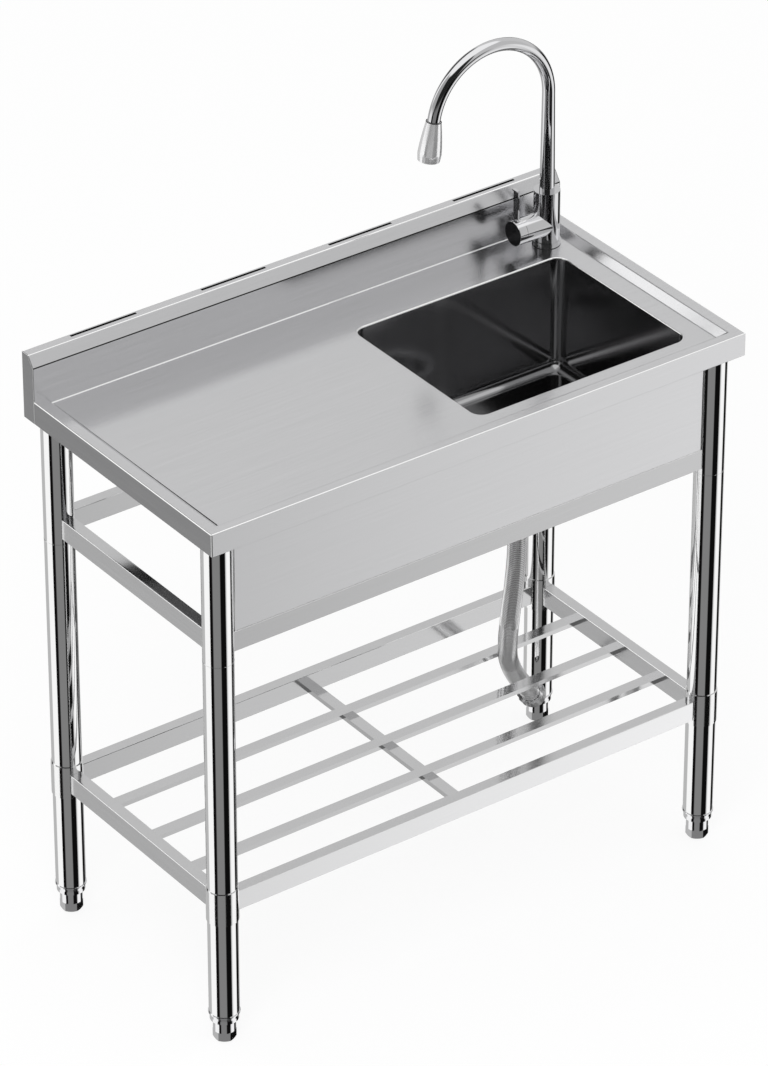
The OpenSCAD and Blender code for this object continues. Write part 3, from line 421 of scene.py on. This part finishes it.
class SINK_OT_metalwork(bpy.types.Operator):
    """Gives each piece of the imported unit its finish"""
    bl_idname = "sink.metalwork"
    bl_label = "Finish the metalwork"

    FINISH_OF = {
        "worktop": "Sheet steel",
        "worktop_ribs": "End steel, painted shade",
        "backsplash": "Sheet steel",
        "backsplash_cap": "End steel, painted shade",
        "front_panel": "Sheet steel",
        "bowl": "Bowl steel",
        "upper_rail": "Rail steel",
        "shelf_rail": "Rail steel",
        "shelf_slat": "Rail steel",
        "shelf_centre": "Rail steel",
        "upper_leg": "Leg steel",
        "lower_leg": "Leg steel",
        "leg_seats": "Foot steel",
        "leg_joiners": "Collar steel",
        "shelf_collars": "Collar steel",
        "collar_screws": "Foot steel",
        "foot_inserts": "Foot steel",
        "adjustable_foot": "Foot steel",
        "faucet_body": "Tap chrome",
        "faucet_base_ring": "Tap chrome",
        "faucet_gasket": "Gasket rubber",
        "faucet_washer": "Dark plastic",
        "faucet_lock_nut": "Turned brass",
        "cartridge_bonnet": "Tap chrome",
        "cartridge": "Dark plastic",
        "handle_pivot": "Turned brass",
        "handle_stem": "Turned brass",
        "handle_cap": "Tap chrome",
        "lever": "Tap chrome",
        "spout": "Tap chrome",
        "spray_head": "Head chrome",
        "aerator": "Dark plastic",
        "drain_flange": "Drain steel",
        "strainer_basket": "Drain steel",
        "drain_gasket": "Gasket rubber",
        "drain_lock_nut": "Dark plastic",
        "hose_nut": "Dark plastic",
        "drain_hose": "Hose steel",
        "hose_end_nut": "Nut chrome",
    }

    def execute(self, context):
        make_finishes(context.scene.sink_steel)
        for name, piece in NODES.items():
            fitting = [key for key in self.FINISH_OF if name.startswith(key)]
            if not fitting:
                raise RuntimeError("no finish is named for " + name)
            dress(piece, self.FINISH_OF[max(fitting, key=len)])
        return {"FINISHED"}


# Folded sheet

def copied_shell(node, name):
    """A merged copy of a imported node, open to edge work."""
    only(NODES[node])
    bpy.ops.object.duplicate()
    piece = bpy.context.view_layer.objects.active
    piece.name = name
    piece.parent = None
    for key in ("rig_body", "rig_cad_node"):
        if key in piece:
            del piece[key]
    bpy.ops.object.mode_set(mode="EDIT")
    bpy.ops.mesh.select_all(action="SELECT")
    bpy.ops.mesh.remove_doubles(threshold=MERGED)
    bpy.ops.mesh.dissolve_limited(angle_limit=math.radians(FLAT_STEP))
    bpy.ops.object.mode_set(mode="OBJECT")
    return piece


def bend_edges(piece, chosen, radius, segments=3, slot=-1):
    """Rounds the edges for which chosen(a, b, normals) holds, with new faces in the given slot."""
    mesh = bmesh.new()
    mesh.from_mesh(piece.data)
    weight = mesh.edges.layers.float.get("bevel_weight_edge")
    if weight is None:
        weight = mesh.edges.layers.float.new("bevel_weight_edge")
    count = 0
    for edge in mesh.edges:
        edge[weight] = 0.0
        if len(edge.link_faces) != 2:
            continue
        normals = [face.normal.copy() for face in edge.link_faces]
        if normals[0].angle(normals[1], 0) < math.radians(SHARPEST_STEP):
            continue
        if chosen(edge.verts[0].co, edge.verts[1].co, normals):
            edge[weight] = 1.0
            count += 1
    mesh.to_mesh(piece.data)
    mesh.free()
    if not count:
        raise RuntimeError("no edge to bend on " + piece.name)
    only(piece)
    bevel = piece.modifiers.new("Bends", "BEVEL")
    bevel.limit_method = "WEIGHT"
    bevel.width = radius
    bevel.segments = segments
    bevel.use_clamp_overlap = True
    bevel.harden_normals = False
    bevel.material = slot
    bpy.ops.object.modifier_apply(modifier=bevel.name)


def smooth_bends(piece, sharpest=SHARPEST_STEP):
    """Shades the bends smoothly and keeps the flats flat."""
    only(piece)
    bpy.ops.object.shade_smooth_by_angle(angle=math.radians(sharpest))
    flats = piece.modifiers.new("Flats", "WEIGHTED_NORMAL")
    flats.keep_sharp = True
    flats.weight = 100
    bpy.ops.object.modifier_apply(modifier=flats.name)


def at(value, *levels):
    """Whether the value lies at one of these levels."""
    return any(abs(value - level) < NEAR for level in levels)


class SINK_OT_worktop_folds(bpy.types.Operator):
    """Rounds the folds of the worktop and of the rim round the bowl"""
    bl_idname = "sink.worktop_folds"
    bl_label = "Fold the worktop"

    def execute(self, context):
        folds = context.scene.sink_folds
        low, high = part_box("worktop")
        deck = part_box("backsplash")[0].z + BACKSPLASH_FOOT
        bowl_low, bowl_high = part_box("bowl")
        piece = copied_shell("worktop", "folded_worktop")
        dress(piece, "Sheet steel", "End steel, painted shade", "Bend highlight, painted", "Painted shade black")
        # Painted shade: the end faces take the darker end steel
        paint_faces(piece, 1, lambda centre, normal: abs(normal.x) > 0.9 and abs(centre.x) > high.x - NEAR)

        def on_outline(a, b):
            side = at(a.x, low.x, high.x) and at(b.x, a.x)
            front = at(a.y, low.y) and at(b.y, low.y)
            return side or front

        def outer_fold(a, b, normals):
            outward = all(n.y < -0.5 or n.z > 0.5 or abs(n.x) > 0.5 for n in normals)
            return on_outline(a, b) and outward

        def foot_fold(a, b, normals):
            return on_outline(a, b) and at(a.z, low.z) and at(b.z, low.z)

        def over_bowl(a):
            return bowl_low.x < a.x < bowl_high.x and bowl_low.y < a.y < bowl_high.y

        def mouth_fold(a, b, normals):
            return at(a.z, deck) and at(b.z, deck) and over_bowl(a) and over_bowl(b)

        def step_fold(a, b, normals):
            level = at(a.z, b.z) and at(a.z, deck, high.z) and (a - b).length > 0.1
            mitre = {round(a.z, 3), round(b.z, 3)} == {round(deck, 3), round(high.z, 3)} and a.y < 0
            inside = max(abs(a.x), abs(b.x)) < high.x - 0.01 and min(a.y, b.y) > low.y + 0.01
            return (level or mitre) and inside and not over_bowl(a)

        for vertex in piece.data.vertices:
            if over_bowl(vertex.co) and at(vertex.co.z, deck - SHEET):
                vertex.co.z -= folds.rim_bend - SHEET + 0.0002
        # Painted highlight: the rim round the bowl's mouth is rounded in the bright bend finish
        bend_edges(piece, mouth_fold, folds.rim_bend, slot=2)
        bend_edges(piece, step_fold, folds.step_bend)
        # Painted shade: a near-black strip along the foot of the left step, as a dark line
        paint_faces(piece, 3, lambda centre, normal: low.x + 0.02 < centre.x < low.x + 0.04
                    and deck + MERGED < centre.z < deck + folds.step_bend)
        bend_edges(piece, foot_fold, folds.sheet_bend * TIGHT_FOLD)
        # Painted highlight on the outer folds
        bend_edges(piece, outer_fold, folds.sheet_bend, slot=2)
        smooth_bends(piece)
        settle(piece)
        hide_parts("worktop")
        return {"FINISHED"}


class SINK_OT_backsplash_folds(bpy.types.Operator):
    """Rounds the folds of the backsplash, closes its foot and dresses its end caps"""
    bl_idname = "sink.backsplash_folds"
    bl_label = "Fold the backsplash"

    def execute(self, context):
        folds = context.scene.sink_folds
        low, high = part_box("backsplash")
        piece = copied_shell("backsplash", "folded_backsplash")
        dress(piece, "Sheet steel", "Painted shade black", "Bend highlight, painted")

        def hollow(centre, normal):
            behind_face = low.y + 0.0005 < centre.y < high.y - 0.0005
            above_foot = low.z + 0.002 < centre.z < high.z - NEAR
            on_slant = normal.y < -0.3 and normal.z > 0.3
            return behind_face and above_foot and not on_slant

        # Painted shade: the faces inside the backsplash, seen through its slots, are made near black
        paint_faces(piece, 1, hollow)

        def top_fold(a, b, normals):
            return abs(a.x - b.x) > 0.3 and at(a.z, high.z) and at(b.z, high.z)

        def face_fold(a, b, normals):
            return abs(a.x - b.x) > 0.3 and at(a.y, low.y) and at(b.y, low.y) and a.z > low.z + 0.06

        # Painted shade: the fold between the front face and the slant above it is rounded in the near-black
        # finish, as a dark line
        bend_edges(piece, face_fold, folds.sheet_bend * TIGHT_FOLD, slot=1)
        # Painted highlight: the top fold is rounded in the bright bend finish
        bend_edges(piece, top_fold, folds.sheet_bend, slot=2)
        smooth_bends(piece)
        settle(piece)
        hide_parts("backsplash")
        for side in ("left", "right"):
            cap = copied_shell("backsplash_cap_" + side, "folded_cap_" + side)
            # Painted shade on the end caps, with a painted highlight on their rounded edges
            dress(cap, "End steel, painted shade", "Bend highlight, painted")
            bend_edges(cap, lambda a, b, normals: True, CAP_BEND, segments=2, slot=1)
            smooth_bends(cap)
            settle(cap)
            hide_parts("backsplash_cap_" + side)
        self.close_foot(low, high)
        return {"FINISHED"}

    def close_foot(self, low, high):
        """A ground weld in the corner between deck and backsplash, in the bright bend finish as a painted
        highlight.
        """
        width = high.x - low.x - 2 * WELD_SHORT
        bpy.ops.object.select_all(action="DESELECT")
        bpy.ops.mesh.primitive_cube_add(
            size=1, location=(0, low.y - WELD_SIZE / 2, low.z + BACKSPLASH_FOOT + WELD_SIZE / 2),
            scale=(width, WELD_SIZE, WELD_SIZE))
        piece = bpy.context.object
        piece.name = "backsplash_foot_weld"
        bpy.ops.object.transform_apply(location=True, rotation=True, scale=True)
        front = low.y - WELD_SIZE
        top = low.z + BACKSPLASH_FOOT + WELD_SIZE
        mesh = bmesh.new()
        mesh.from_mesh(piece.data)
        for part in [*mesh.verts, *mesh.edges, *mesh.faces]:
            part.select = False
        for edge in mesh.edges:
            edge.select = all(at(v.co.y, front) and at(v.co.z, top) for v in edge.verts)
        mesh.to_mesh(piece.data)
        mesh.free()
        bpy.ops.object.mode_set(mode="EDIT")
        bpy.ops.mesh.select_mode(type="EDGE")
        bpy.ops.mesh.bevel(offset=WELD_SIZE * WELD_HOLLOW, segments=5, profile=WELD_PROFILE)
        bpy.ops.object.mode_set(mode="OBJECT")
        bpy.ops.object.shade_smooth_by_angle(angle=math.radians(SHARPEST_STEP))
        dress(piece, "Bend highlight, painted")
        settle(piece)


class SINK_OT_panel_folds(bpy.types.Operator):
    """Rounds the folds of the front panel"""
    bl_idname = "sink.panel_folds"
    bl_label = "Fold the front panel"

    def execute(self, context):
        low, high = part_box("front_panel")
        piece = copied_shell("front_panel", "folded_panel")
        dress(piece, "Sheet steel", "Bend highlight, painted")
        # Painted highlight: the folds along the front are rounded in the bright bend finish
        bend_edges(
            piece, lambda a, b, normals: at(a.y, low.y) and at(b.y, low.y),
            context.scene.sink_folds.sheet_bend * TIGHT_FOLD, slot=1)
        smooth_bends(piece)
        settle(piece)
        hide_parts("front_panel")
        return {"FINISHED"}


class SINK_OT_rail_edges(bpy.types.Operator):
    """Dresses the rails face by face with lit and shaded copies of their steel, painted light and shade, and
    paints highlights on their corners
    """
    bl_idname = "sink.rail_edges"
    bl_label = "Dress the rails"

    def execute(self, context):
        for level, front in (("upper", "Rail steel, upper front, painted shade"), ("shelf", "Rail steel, lower front, painted light")):
            for place in ("front", "rear", "left", "right"):
                node = level + "_rail_" + place
                piece = copied_shell(node, "dressed_" + node)
                face = front if place == "front" else "Rail steel"
                dress(piece, "Rail steel", "Bend highlight, painted", face,
                      "Rail steel, outer side, painted light", "Rail steel, inner side, painted shade")
                # Painted light and shade: each face takes the lit or shaded copy for the way it looks
                outward = {"left": -1, "right": 1}.get(place, 0)
                if outward:
                    paint_faces(piece, 3, lambda centre, normal: normal.x * outward > 0.9)
                    paint_faces(piece, 4, lambda centre, normal: normal.x * outward < -0.9)
                else:
                    paint_faces(piece, 2, lambda centre, normal: normal.y < -0.9)
                # Painted highlight: the chamfers take the bright bend finish
                paint_faces(piece, 1, lambda centre, normal: normal.z > 0.3 and normal.z < 0.95)
                smooth_bends(piece, RAIL_STEP)
                settle(piece)
                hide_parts(node)
        return {"FINISHED"}


class SINK_OT_bowl_walls(bpy.types.Operator):
    """Smooths the rounded walls and corners of the bowl"""
    bl_idname = "sink.bowl_walls"
    bl_label = "Smooth the bowl"

    def execute(self, context):
        low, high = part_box("bowl")
        drop = context.scene.sink_folds.rim_bend - SHEET
        piece = copied_shell("bowl", "polished_bowl")
        for vertex in piece.data.vertices:
            inside = low.x + BOWL_LIP < vertex.co.x < high.x - BOWL_LIP
            if inside and low.y + BOWL_LIP < vertex.co.y < high.y - BOWL_LIP and at(vertex.co.z, high.z):
                vertex.co.z -= drop
        dress(piece, "Bowl steel")
        smooth_bends(piece)
        settle(piece)
        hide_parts("bowl")
        return {"FINISHED"}


class SINK_OT_handle_face(bpy.types.Operator):
    """Gives the flat end of the tap's handle a much darker face"""
    bl_idname = "sink.handle_face"
    bl_label = "Dress the handle"

    def execute(self, context):
        low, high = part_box("handle_cap")
        piece = copied_shell("handle_cap", "dressed_handle_cap")
        dress(piece, "Tap chrome", "Cap face steel", "Bend highlight, painted")
        paint_faces(piece, 1, lambda centre, normal: normal.x < -0.9 and centre.x < low.x + 0.0005)
        # Painted highlight: the rim of the end is rounded in the bright bend finish
        bend_edges(
            piece, lambda a, b, normals: at(a.x, low.x) and at(b.x, low.x),
            HANDLE_BEND, segments=2, slot=2)
        smooth_bends(piece)
        settle(piece, body="handle")
        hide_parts("handle_cap")
        return {"FINISHED"}


class SINK_OT_spray_head(bpy.types.Operator):
    """Smooths the spray head and puts the dark seam between it and the spout"""
    bl_idname = "sink.spray_head"
    bl_label = "Smooth the spray head"

    def execute(self, context):
        bell = copied_shell("spray_head", "smooth_spray_head")
        dress(bell, "Head chrome")
        smooth_bends(bell)
        settle(bell, body="spout")
        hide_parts("spray_head")
        bpy.ops.object.select_all(action="DESELECT")
        bpy.ops.mesh.primitive_torus_add(
            major_radius=SEAM_RADIUS, minor_radius=SEAM_ROUND, major_segments=56, minor_segments=10,
            location=SPOUT_END, rotation=(0, math.radians(-SPOUT_TURN), 0))
        piece = bpy.context.object
        piece.name = "spray_head_seam"
        bpy.ops.object.mode_set(mode="EDIT")
        bpy.ops.mesh.select_all(action="SELECT")
        bpy.ops.transform.resize(value=(1, 1, SEAM_FLATTENED), orient_type="LOCAL")
        bpy.ops.object.mode_set(mode="OBJECT")
        bpy.ops.object.shade_smooth()
        dress(piece, "Gasket rubber")
        settle(piece, body="spout")
        return {"FINISHED"}


# Drain hose

def smooth_route(points, per_step):
    """Points along a smooth curve through the route, with its ends drawn straight on."""
    first = [2 * p - q for p, q in zip(points[0], points[1])]
    last = [2 * p - q for p, q in zip(points[-1], points[-2])]
    reach = [Vector(p) for p in [first, *points, last]]
    line = []
    for i in range(1, len(reach) - 2):
        a, b, c, d = reach[i - 1:i + 3]
        for k in range(per_step):
            t = k / per_step
            line.append((2 * b + (c - a) * t + (2 * a - 5 * b + 4 * c - d) * t * t
                         + (3 * b - a - 3 * c + d) * t ** 3) / 2)
    line.append(reach[-2])
    return line


class SINK_OT_drain_hose(bpy.types.Operator):
    """Makes the ribbed drain hose along its route"""
    bl_idname = "sink.drain_hose"
    bl_label = "Make the drain hose"

    # Rings of points along each rib
    RINGS = 4
    # Share of the hose's length past which it is stretched smooth, over which share the ribs fade
    # before that, and what is left of them there
    SMOOTH_FROM = 0.66
    FADES_OVER = 0.25
    SMOOTHEST = 0.15

    def execute(self, context):
        hose = context.scene.sink_hose
        steps = len(HOSE_ROUTE) - 1
        per_step = round(hose.ribs / steps) * self.RINGS
        line = [p / 1000 for p in smooth_route(HOSE_ROUTE, per_step)]
        outer = hose.width / 2
        verts = []
        faces = []
        for k, point in enumerate(line):
            way = (line[min(k + 1, len(line) - 1)] - line[max(k - 1, 0)]).normalized()
            side = way.cross(Vector((0, 1, 0))).normalized()
            up = side.cross(way)
            wave = 0.5 - 0.5 * math.cos(2 * math.pi * k / self.RINGS)
            fade = min(max((self.SMOOTH_FROM - k / len(line)) / self.FADES_OVER, self.SMOOTHEST), 1)
            radius = outer - hose.groove * wave * fade
            for i in range(hose.sides):
                angle = 2 * math.pi * i / hose.sides
                verts.append(point + radius * (math.cos(angle) * side + math.sin(angle) * up))
        for k in range(len(line) - 1):
            for i in range(hose.sides):
                j = (i + 1) % hose.sides
                a = k * hose.sides
                b = a + hose.sides
                faces.append((a + i, a + j, b + j, b + i))
        last = (len(line) - 1) * hose.sides
        faces.append(tuple(range(hose.sides - 1, -1, -1)))
        faces.append(tuple(last + i for i in range(hose.sides)))
        shape = bpy.data.meshes.new("drain_hose_ribbed")
        shape.from_pydata(verts, [], faces)
        piece = bpy.data.objects.new("drain_hose_ribbed", shape)
        context.scene.collection.objects.link(piece)
        only(piece)
        bpy.ops.object.mode_set(mode="EDIT")
        bpy.ops.mesh.select_all(action="SELECT")
        bpy.ops.mesh.normals_make_consistent(inside=False)
        bpy.ops.object.mode_set(mode="OBJECT")
        bpy.ops.object.shade_smooth_by_angle(angle=math.radians(60))
        dress(piece, "Hose steel", "Groove steel, painted shade")
        # Painted shade: one ring of faces in each groove, over the ribbed part, takes the darker groove
        # finish
        for face in piece.data.polygons:
            k = face.index // hose.sides
            if k % self.RINGS == self.RINGS // 2 and k < self.SMOOTH_FROM * len(line):
                face.material_index = 1
        settle(piece)
        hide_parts("drain_hose")
        return {"FINISHED"}


# Camera and studio

class SINK_OT_camera(bpy.types.Operator):
    """Sets the camera where the photograph was taken from"""
    bl_idname = "sink.camera"
    bl_label = "Set the camera"

    # Place in metres, tilt and turn in degrees, and focal length in millimetres
    PLACE = (-4.7267, -6.4771, 5.6220)
    TILT = 58.14
    TURN = -36.08
    LENS = 205.41

    def execute(self, context):
        bpy.ops.object.camera_add(
            location=self.PLACE, rotation=(math.radians(self.TILT), 0, math.radians(self.TURN)))
        camera = context.object
        camera.name = "studio_camera"
        camera.data.lens = self.LENS
        camera.data.sensor_width = 36
        camera.data.sensor_fit = "AUTO"
        camera.data.clip_end = 100
        context.scene.camera = camera
        return {"FINISHED"}


def ramp(tree, place, stops):
    """A colour ramp with grey stops, given as (position, value)."""
    made = put(tree, "ShaderNodeValToRGB", place)
    made.color_ramp.interpolation = "LINEAR"
    while len(made.color_ramp.elements) > 1:
        made.color_ramp.elements.remove(made.color_ramp.elements[-1])
    for k, (position, value) in enumerate(stops):
        stop = made.color_ramp.elements[0] if k == 0 else made.color_ramp.elements.new(position)
        stop.position = position
        stop.color = (value, value, value, 1)
    return made


class SINK_OT_stage(bpy.types.Operator):
    """Sets the white room, its reflected panels, the floor and the lamp"""
    bl_idname = "sink.stage"
    bl_label = "Set the stage"

    # Panels round the unit as metal sees them, below and above the horizon: where each starts,
    # as an azimuth in degrees, and its grey value
    LOW_PANELS = [
        (-180, 0.004), (-157, 0.22), (-103, 0.004), (-61, 0.62), (-56, 0.80), (-51, 1.0), (-15, 0.004),
        (20, 0.35), (42, 0.06), (58, 0.5), (131, 1.0)]
    HIGH_PANELS = [(-180, 0.45), (-168, 0.02), (-80, 0.62), (-15, 0.69), (70, 0.10), (112, 1.18), (140, 0.45)]
    FLOOR_BELOW = 0.13
    CEILING_ABOVE = 1.1
    # Height on the unit sphere over which each band passes into the next
    BAND_EDGES = [(-0.86, -0.76), (-0.12, 0.12), (0.72, 0.80)]
    # Half the width of the soft edge between two panels, in degrees
    SOFT_EDGE = 2.5
    # Share of plain white that the camera sees in the floor
    FLOOR_WHITE = 0.86
    LAMP_PLACE = (-2.2, -2.0, 3.4)
    LAMP_AIM = (0, 0, 0.8)
    LAMP_SIZE = 2.0

    def panel_ramp(self, tree, place, panels):
        """A ramp round the horizon with these panels, each with soft edges."""
        stops = []
        for k, (start, value) in enumerate(panels):
            before = panels[k - 1][1]
            if start > -180:
                stops.append(((start + 180 - self.SOFT_EDGE) / 360, before))
                stops.append(((start + 180 + self.SOFT_EDGE) / 360, value))
            else:
                stops.append((0, value))
        return ramp(tree, place, stops)

    def set_world(self, scene):
        """White to the eye, even daylight to matt surfaces and bands of panels to metal."""
        world = bpy.data.worlds.new("Studio")
        scene.world = world
        world.use_nodes = True
        tree = world.node_tree
        tree.nodes.clear()
        out = put(tree, "ShaderNodeOutputWorld", (1500, 0))
        seen = put(tree, "ShaderNodeBackground", (1100, 250))
        dial(seen, {"Color": (1, 1, 1, 1)})
        matt = put(tree, "ShaderNodeBackground", (1100, 100))
        dial(matt, {"Color": (1, 1, 1, 1), "Strength": scene.sink_studio.daylight})
        metal = put(tree, "ShaderNodeBackground", (1100, -100))
        way = put(tree, "ShaderNodeTexCoord", (-900, -300))
        split = put(tree, "ShaderNodeSeparateXYZ", (-700, -300))
        link(tree, way.outputs["Generated"], split.inputs["Vector"])
        turn = put(tree, "ShaderNodeMath", (-500, -200), operation="ARCTAN2")
        link(tree, split.outputs["Y"], turn.inputs[0])
        link(tree, split.outputs["X"], turn.inputs[1])
        share = put(tree, "ShaderNodeMath", (-320, -200), operation="MULTIPLY_ADD")
        link(tree, turn.outputs[0], share.inputs[0])
        dial(share, {1: 1 / (2 * math.pi), 2: 0.5})
        bands = [
            ramp(tree, (-120, 150), [(0, self.FLOOR_BELOW)]),
            self.panel_ramp(tree, (-120, -100), self.LOW_PANELS),
            self.panel_ramp(tree, (-120, -350), self.HIGH_PANELS),
            ramp(tree, (-120, -600), [(0, self.CEILING_ABOVE)]),
        ]
        for band in bands:
            link(tree, share.outputs[0], band.inputs["Fac"])
        colour = bands[0].outputs["Color"]
        for k, (start, end) in enumerate(self.BAND_EDGES):
            rise = put(tree, "ShaderNodeMapRange", (200 + 200 * k, -600), interpolation_type="SMOOTHSTEP")
            dial(rise, {"From Min": start, "From Max": end})
            link(tree, split.outputs["Z"], rise.inputs["Value"])
            blend = put(tree, "ShaderNodeMix", (300 + 200 * k, -200), data_type="RGBA")
            link(tree, rise.outputs["Result"], blend.inputs["Factor"])
            link(tree, colour, blend.inputs["A"])
            link(tree, bands[k + 1].outputs["Color"], blend.inputs["B"])
            colour = blend.outputs["Result"]
        link(tree, colour, metal.inputs["Color"])
        rays = put(tree, "ShaderNodeLightPath", (900, 400))
        shiny = put(tree, "ShaderNodeMixShader", (1300, -50))
        link(tree, rays.outputs["Is Glossy Ray"], shiny.inputs["Fac"])
        link(tree, matt.outputs[0], shiny.inputs[1])
        link(tree, metal.outputs[0], shiny.inputs[2])
        last = put(tree, "ShaderNodeMixShader", (1400, 100))
        link(tree, rays.outputs["Is Camera Ray"], last.inputs["Fac"])
        link(tree, shiny.outputs[0], last.inputs[1])
        link(tree, seen.outputs[0], last.inputs[2])
        link(tree, last.outputs[0], out.inputs["Surface"])

    def set_floor(self, scene):
        """A nearly white floor that metal doesn't reflect."""
        bpy.ops.mesh.primitive_plane_add(size=scene.sink_studio.floor_size, location=(0, 0, 0))
        floor = bpy.context.object
        floor.name = "studio_floor"
        finish, tree, shader = bare_finish("Studio floor")
        dial(shader, {"Base Color": (0.9, 0.9, 0.9, 1), "Roughness": 0.9, "Specular IOR Level": 0.0})
        white = put(tree, "ShaderNodeEmission", (200, 250))
        rays = put(tree, "ShaderNodeLightPath", (-200, 250))
        amount = put(tree, "ShaderNodeMath", (0, 250), operation="MULTIPLY")
        dial(amount, {1: self.FLOOR_WHITE})
        link(tree, rays.outputs["Is Camera Ray"], amount.inputs[0])
        mix = put(tree, "ShaderNodeMixShader", (400, 200))
        out = tree.nodes["Material Output"]
        link(tree, amount.outputs[0], mix.inputs["Fac"])
        link(tree, shader.outputs["BSDF"], mix.inputs[1])
        link(tree, white.outputs[0], mix.inputs[2])
        link(tree, mix.outputs[0], out.inputs["Surface"])
        dress(floor, finish.name)
        floor.visible_glossy = False

    def set_lamp(self, scene):
        """One soft lamp, aimed at the worktop."""
        bpy.ops.object.light_add(type="AREA", location=self.LAMP_PLACE)
        lamp = bpy.context.object
        lamp.name = "key_lamp"
        lamp.data.shape = "RECTANGLE"
        lamp.data.size = self.LAMP_SIZE
        lamp.data.size_y = self.LAMP_SIZE
        lamp.data.energy = scene.sink_studio.key_power
        aim = Vector(self.LAMP_AIM) - lamp.location
        lamp.rotation_euler = aim.to_track_quat("-Z", "Y").to_euler()
        lamp.visible_glossy = False

    def execute(self, context):
        scene = context.scene
        self.set_world(scene)
        self.set_floor(scene)
        self.set_lamp(scene)
        scene.view_settings.view_transform = "Standard"
        return {"FINISHED"}


class SINK_PT_tools(bpy.types.Panel):
    """Lists the steps that dress the sink unit"""
    bl_idname = "SINK_PT_tools"
    bl_label = "Sink unit"
    bl_space_type = "VIEW_3D"
    bl_region_type = "UI"
    bl_category = "Sink unit"

    def draw(self, context):
        layout = self.layout
        for step in STEPS:
            layout.operator(step.bl_idname)
        for group in ("sink_steel", "sink_folds", "sink_hose", "sink_studio"):
            held = getattr(context.scene, group)
            for name in held.__annotations__:
                layout.prop(held, name)


STEPS = [
    SINK_OT_camera,
    SINK_OT_metalwork,
    SINK_OT_drain_hose,
    SINK_OT_worktop_folds,
    SINK_OT_backsplash_folds,
    SINK_OT_panel_folds,
    SINK_OT_rail_edges,
    SINK_OT_bowl_walls,
    SINK_OT_handle_face,
    SINK_OT_spray_head,
    SINK_OT_stage,
]
GROUPS = {
    "sink_steel": SinkSteel,
    "sink_folds": SinkFolds,
    "sink_hose": SinkHose,
    "sink_studio": SinkStudio,
}


def register():
    for name, group in GROUPS.items():
        bpy.utils.register_class(group)
        setattr(bpy.types.Scene, name, bpy.props.PointerProperty(type=group))
    for step in STEPS:
        bpy.utils.register_class(step)
    bpy.utils.register_class(SINK_PT_tools)


def unregister():
    bpy.utils.unregister_class(SINK_PT_tools)
    for step in reversed(STEPS):
        bpy.utils.unregister_class(step)
    for name, group in GROUPS.items():
        delattr(bpy.types.Scene, name)
        bpy.utils.unregister_class(group)


def main():
    register()
    for step in STEPS:
        family, name = step.bl_idname.split(".")
        getattr(getattr(bpy.ops, family), name)()


if __name__ == "__main__":
    main()
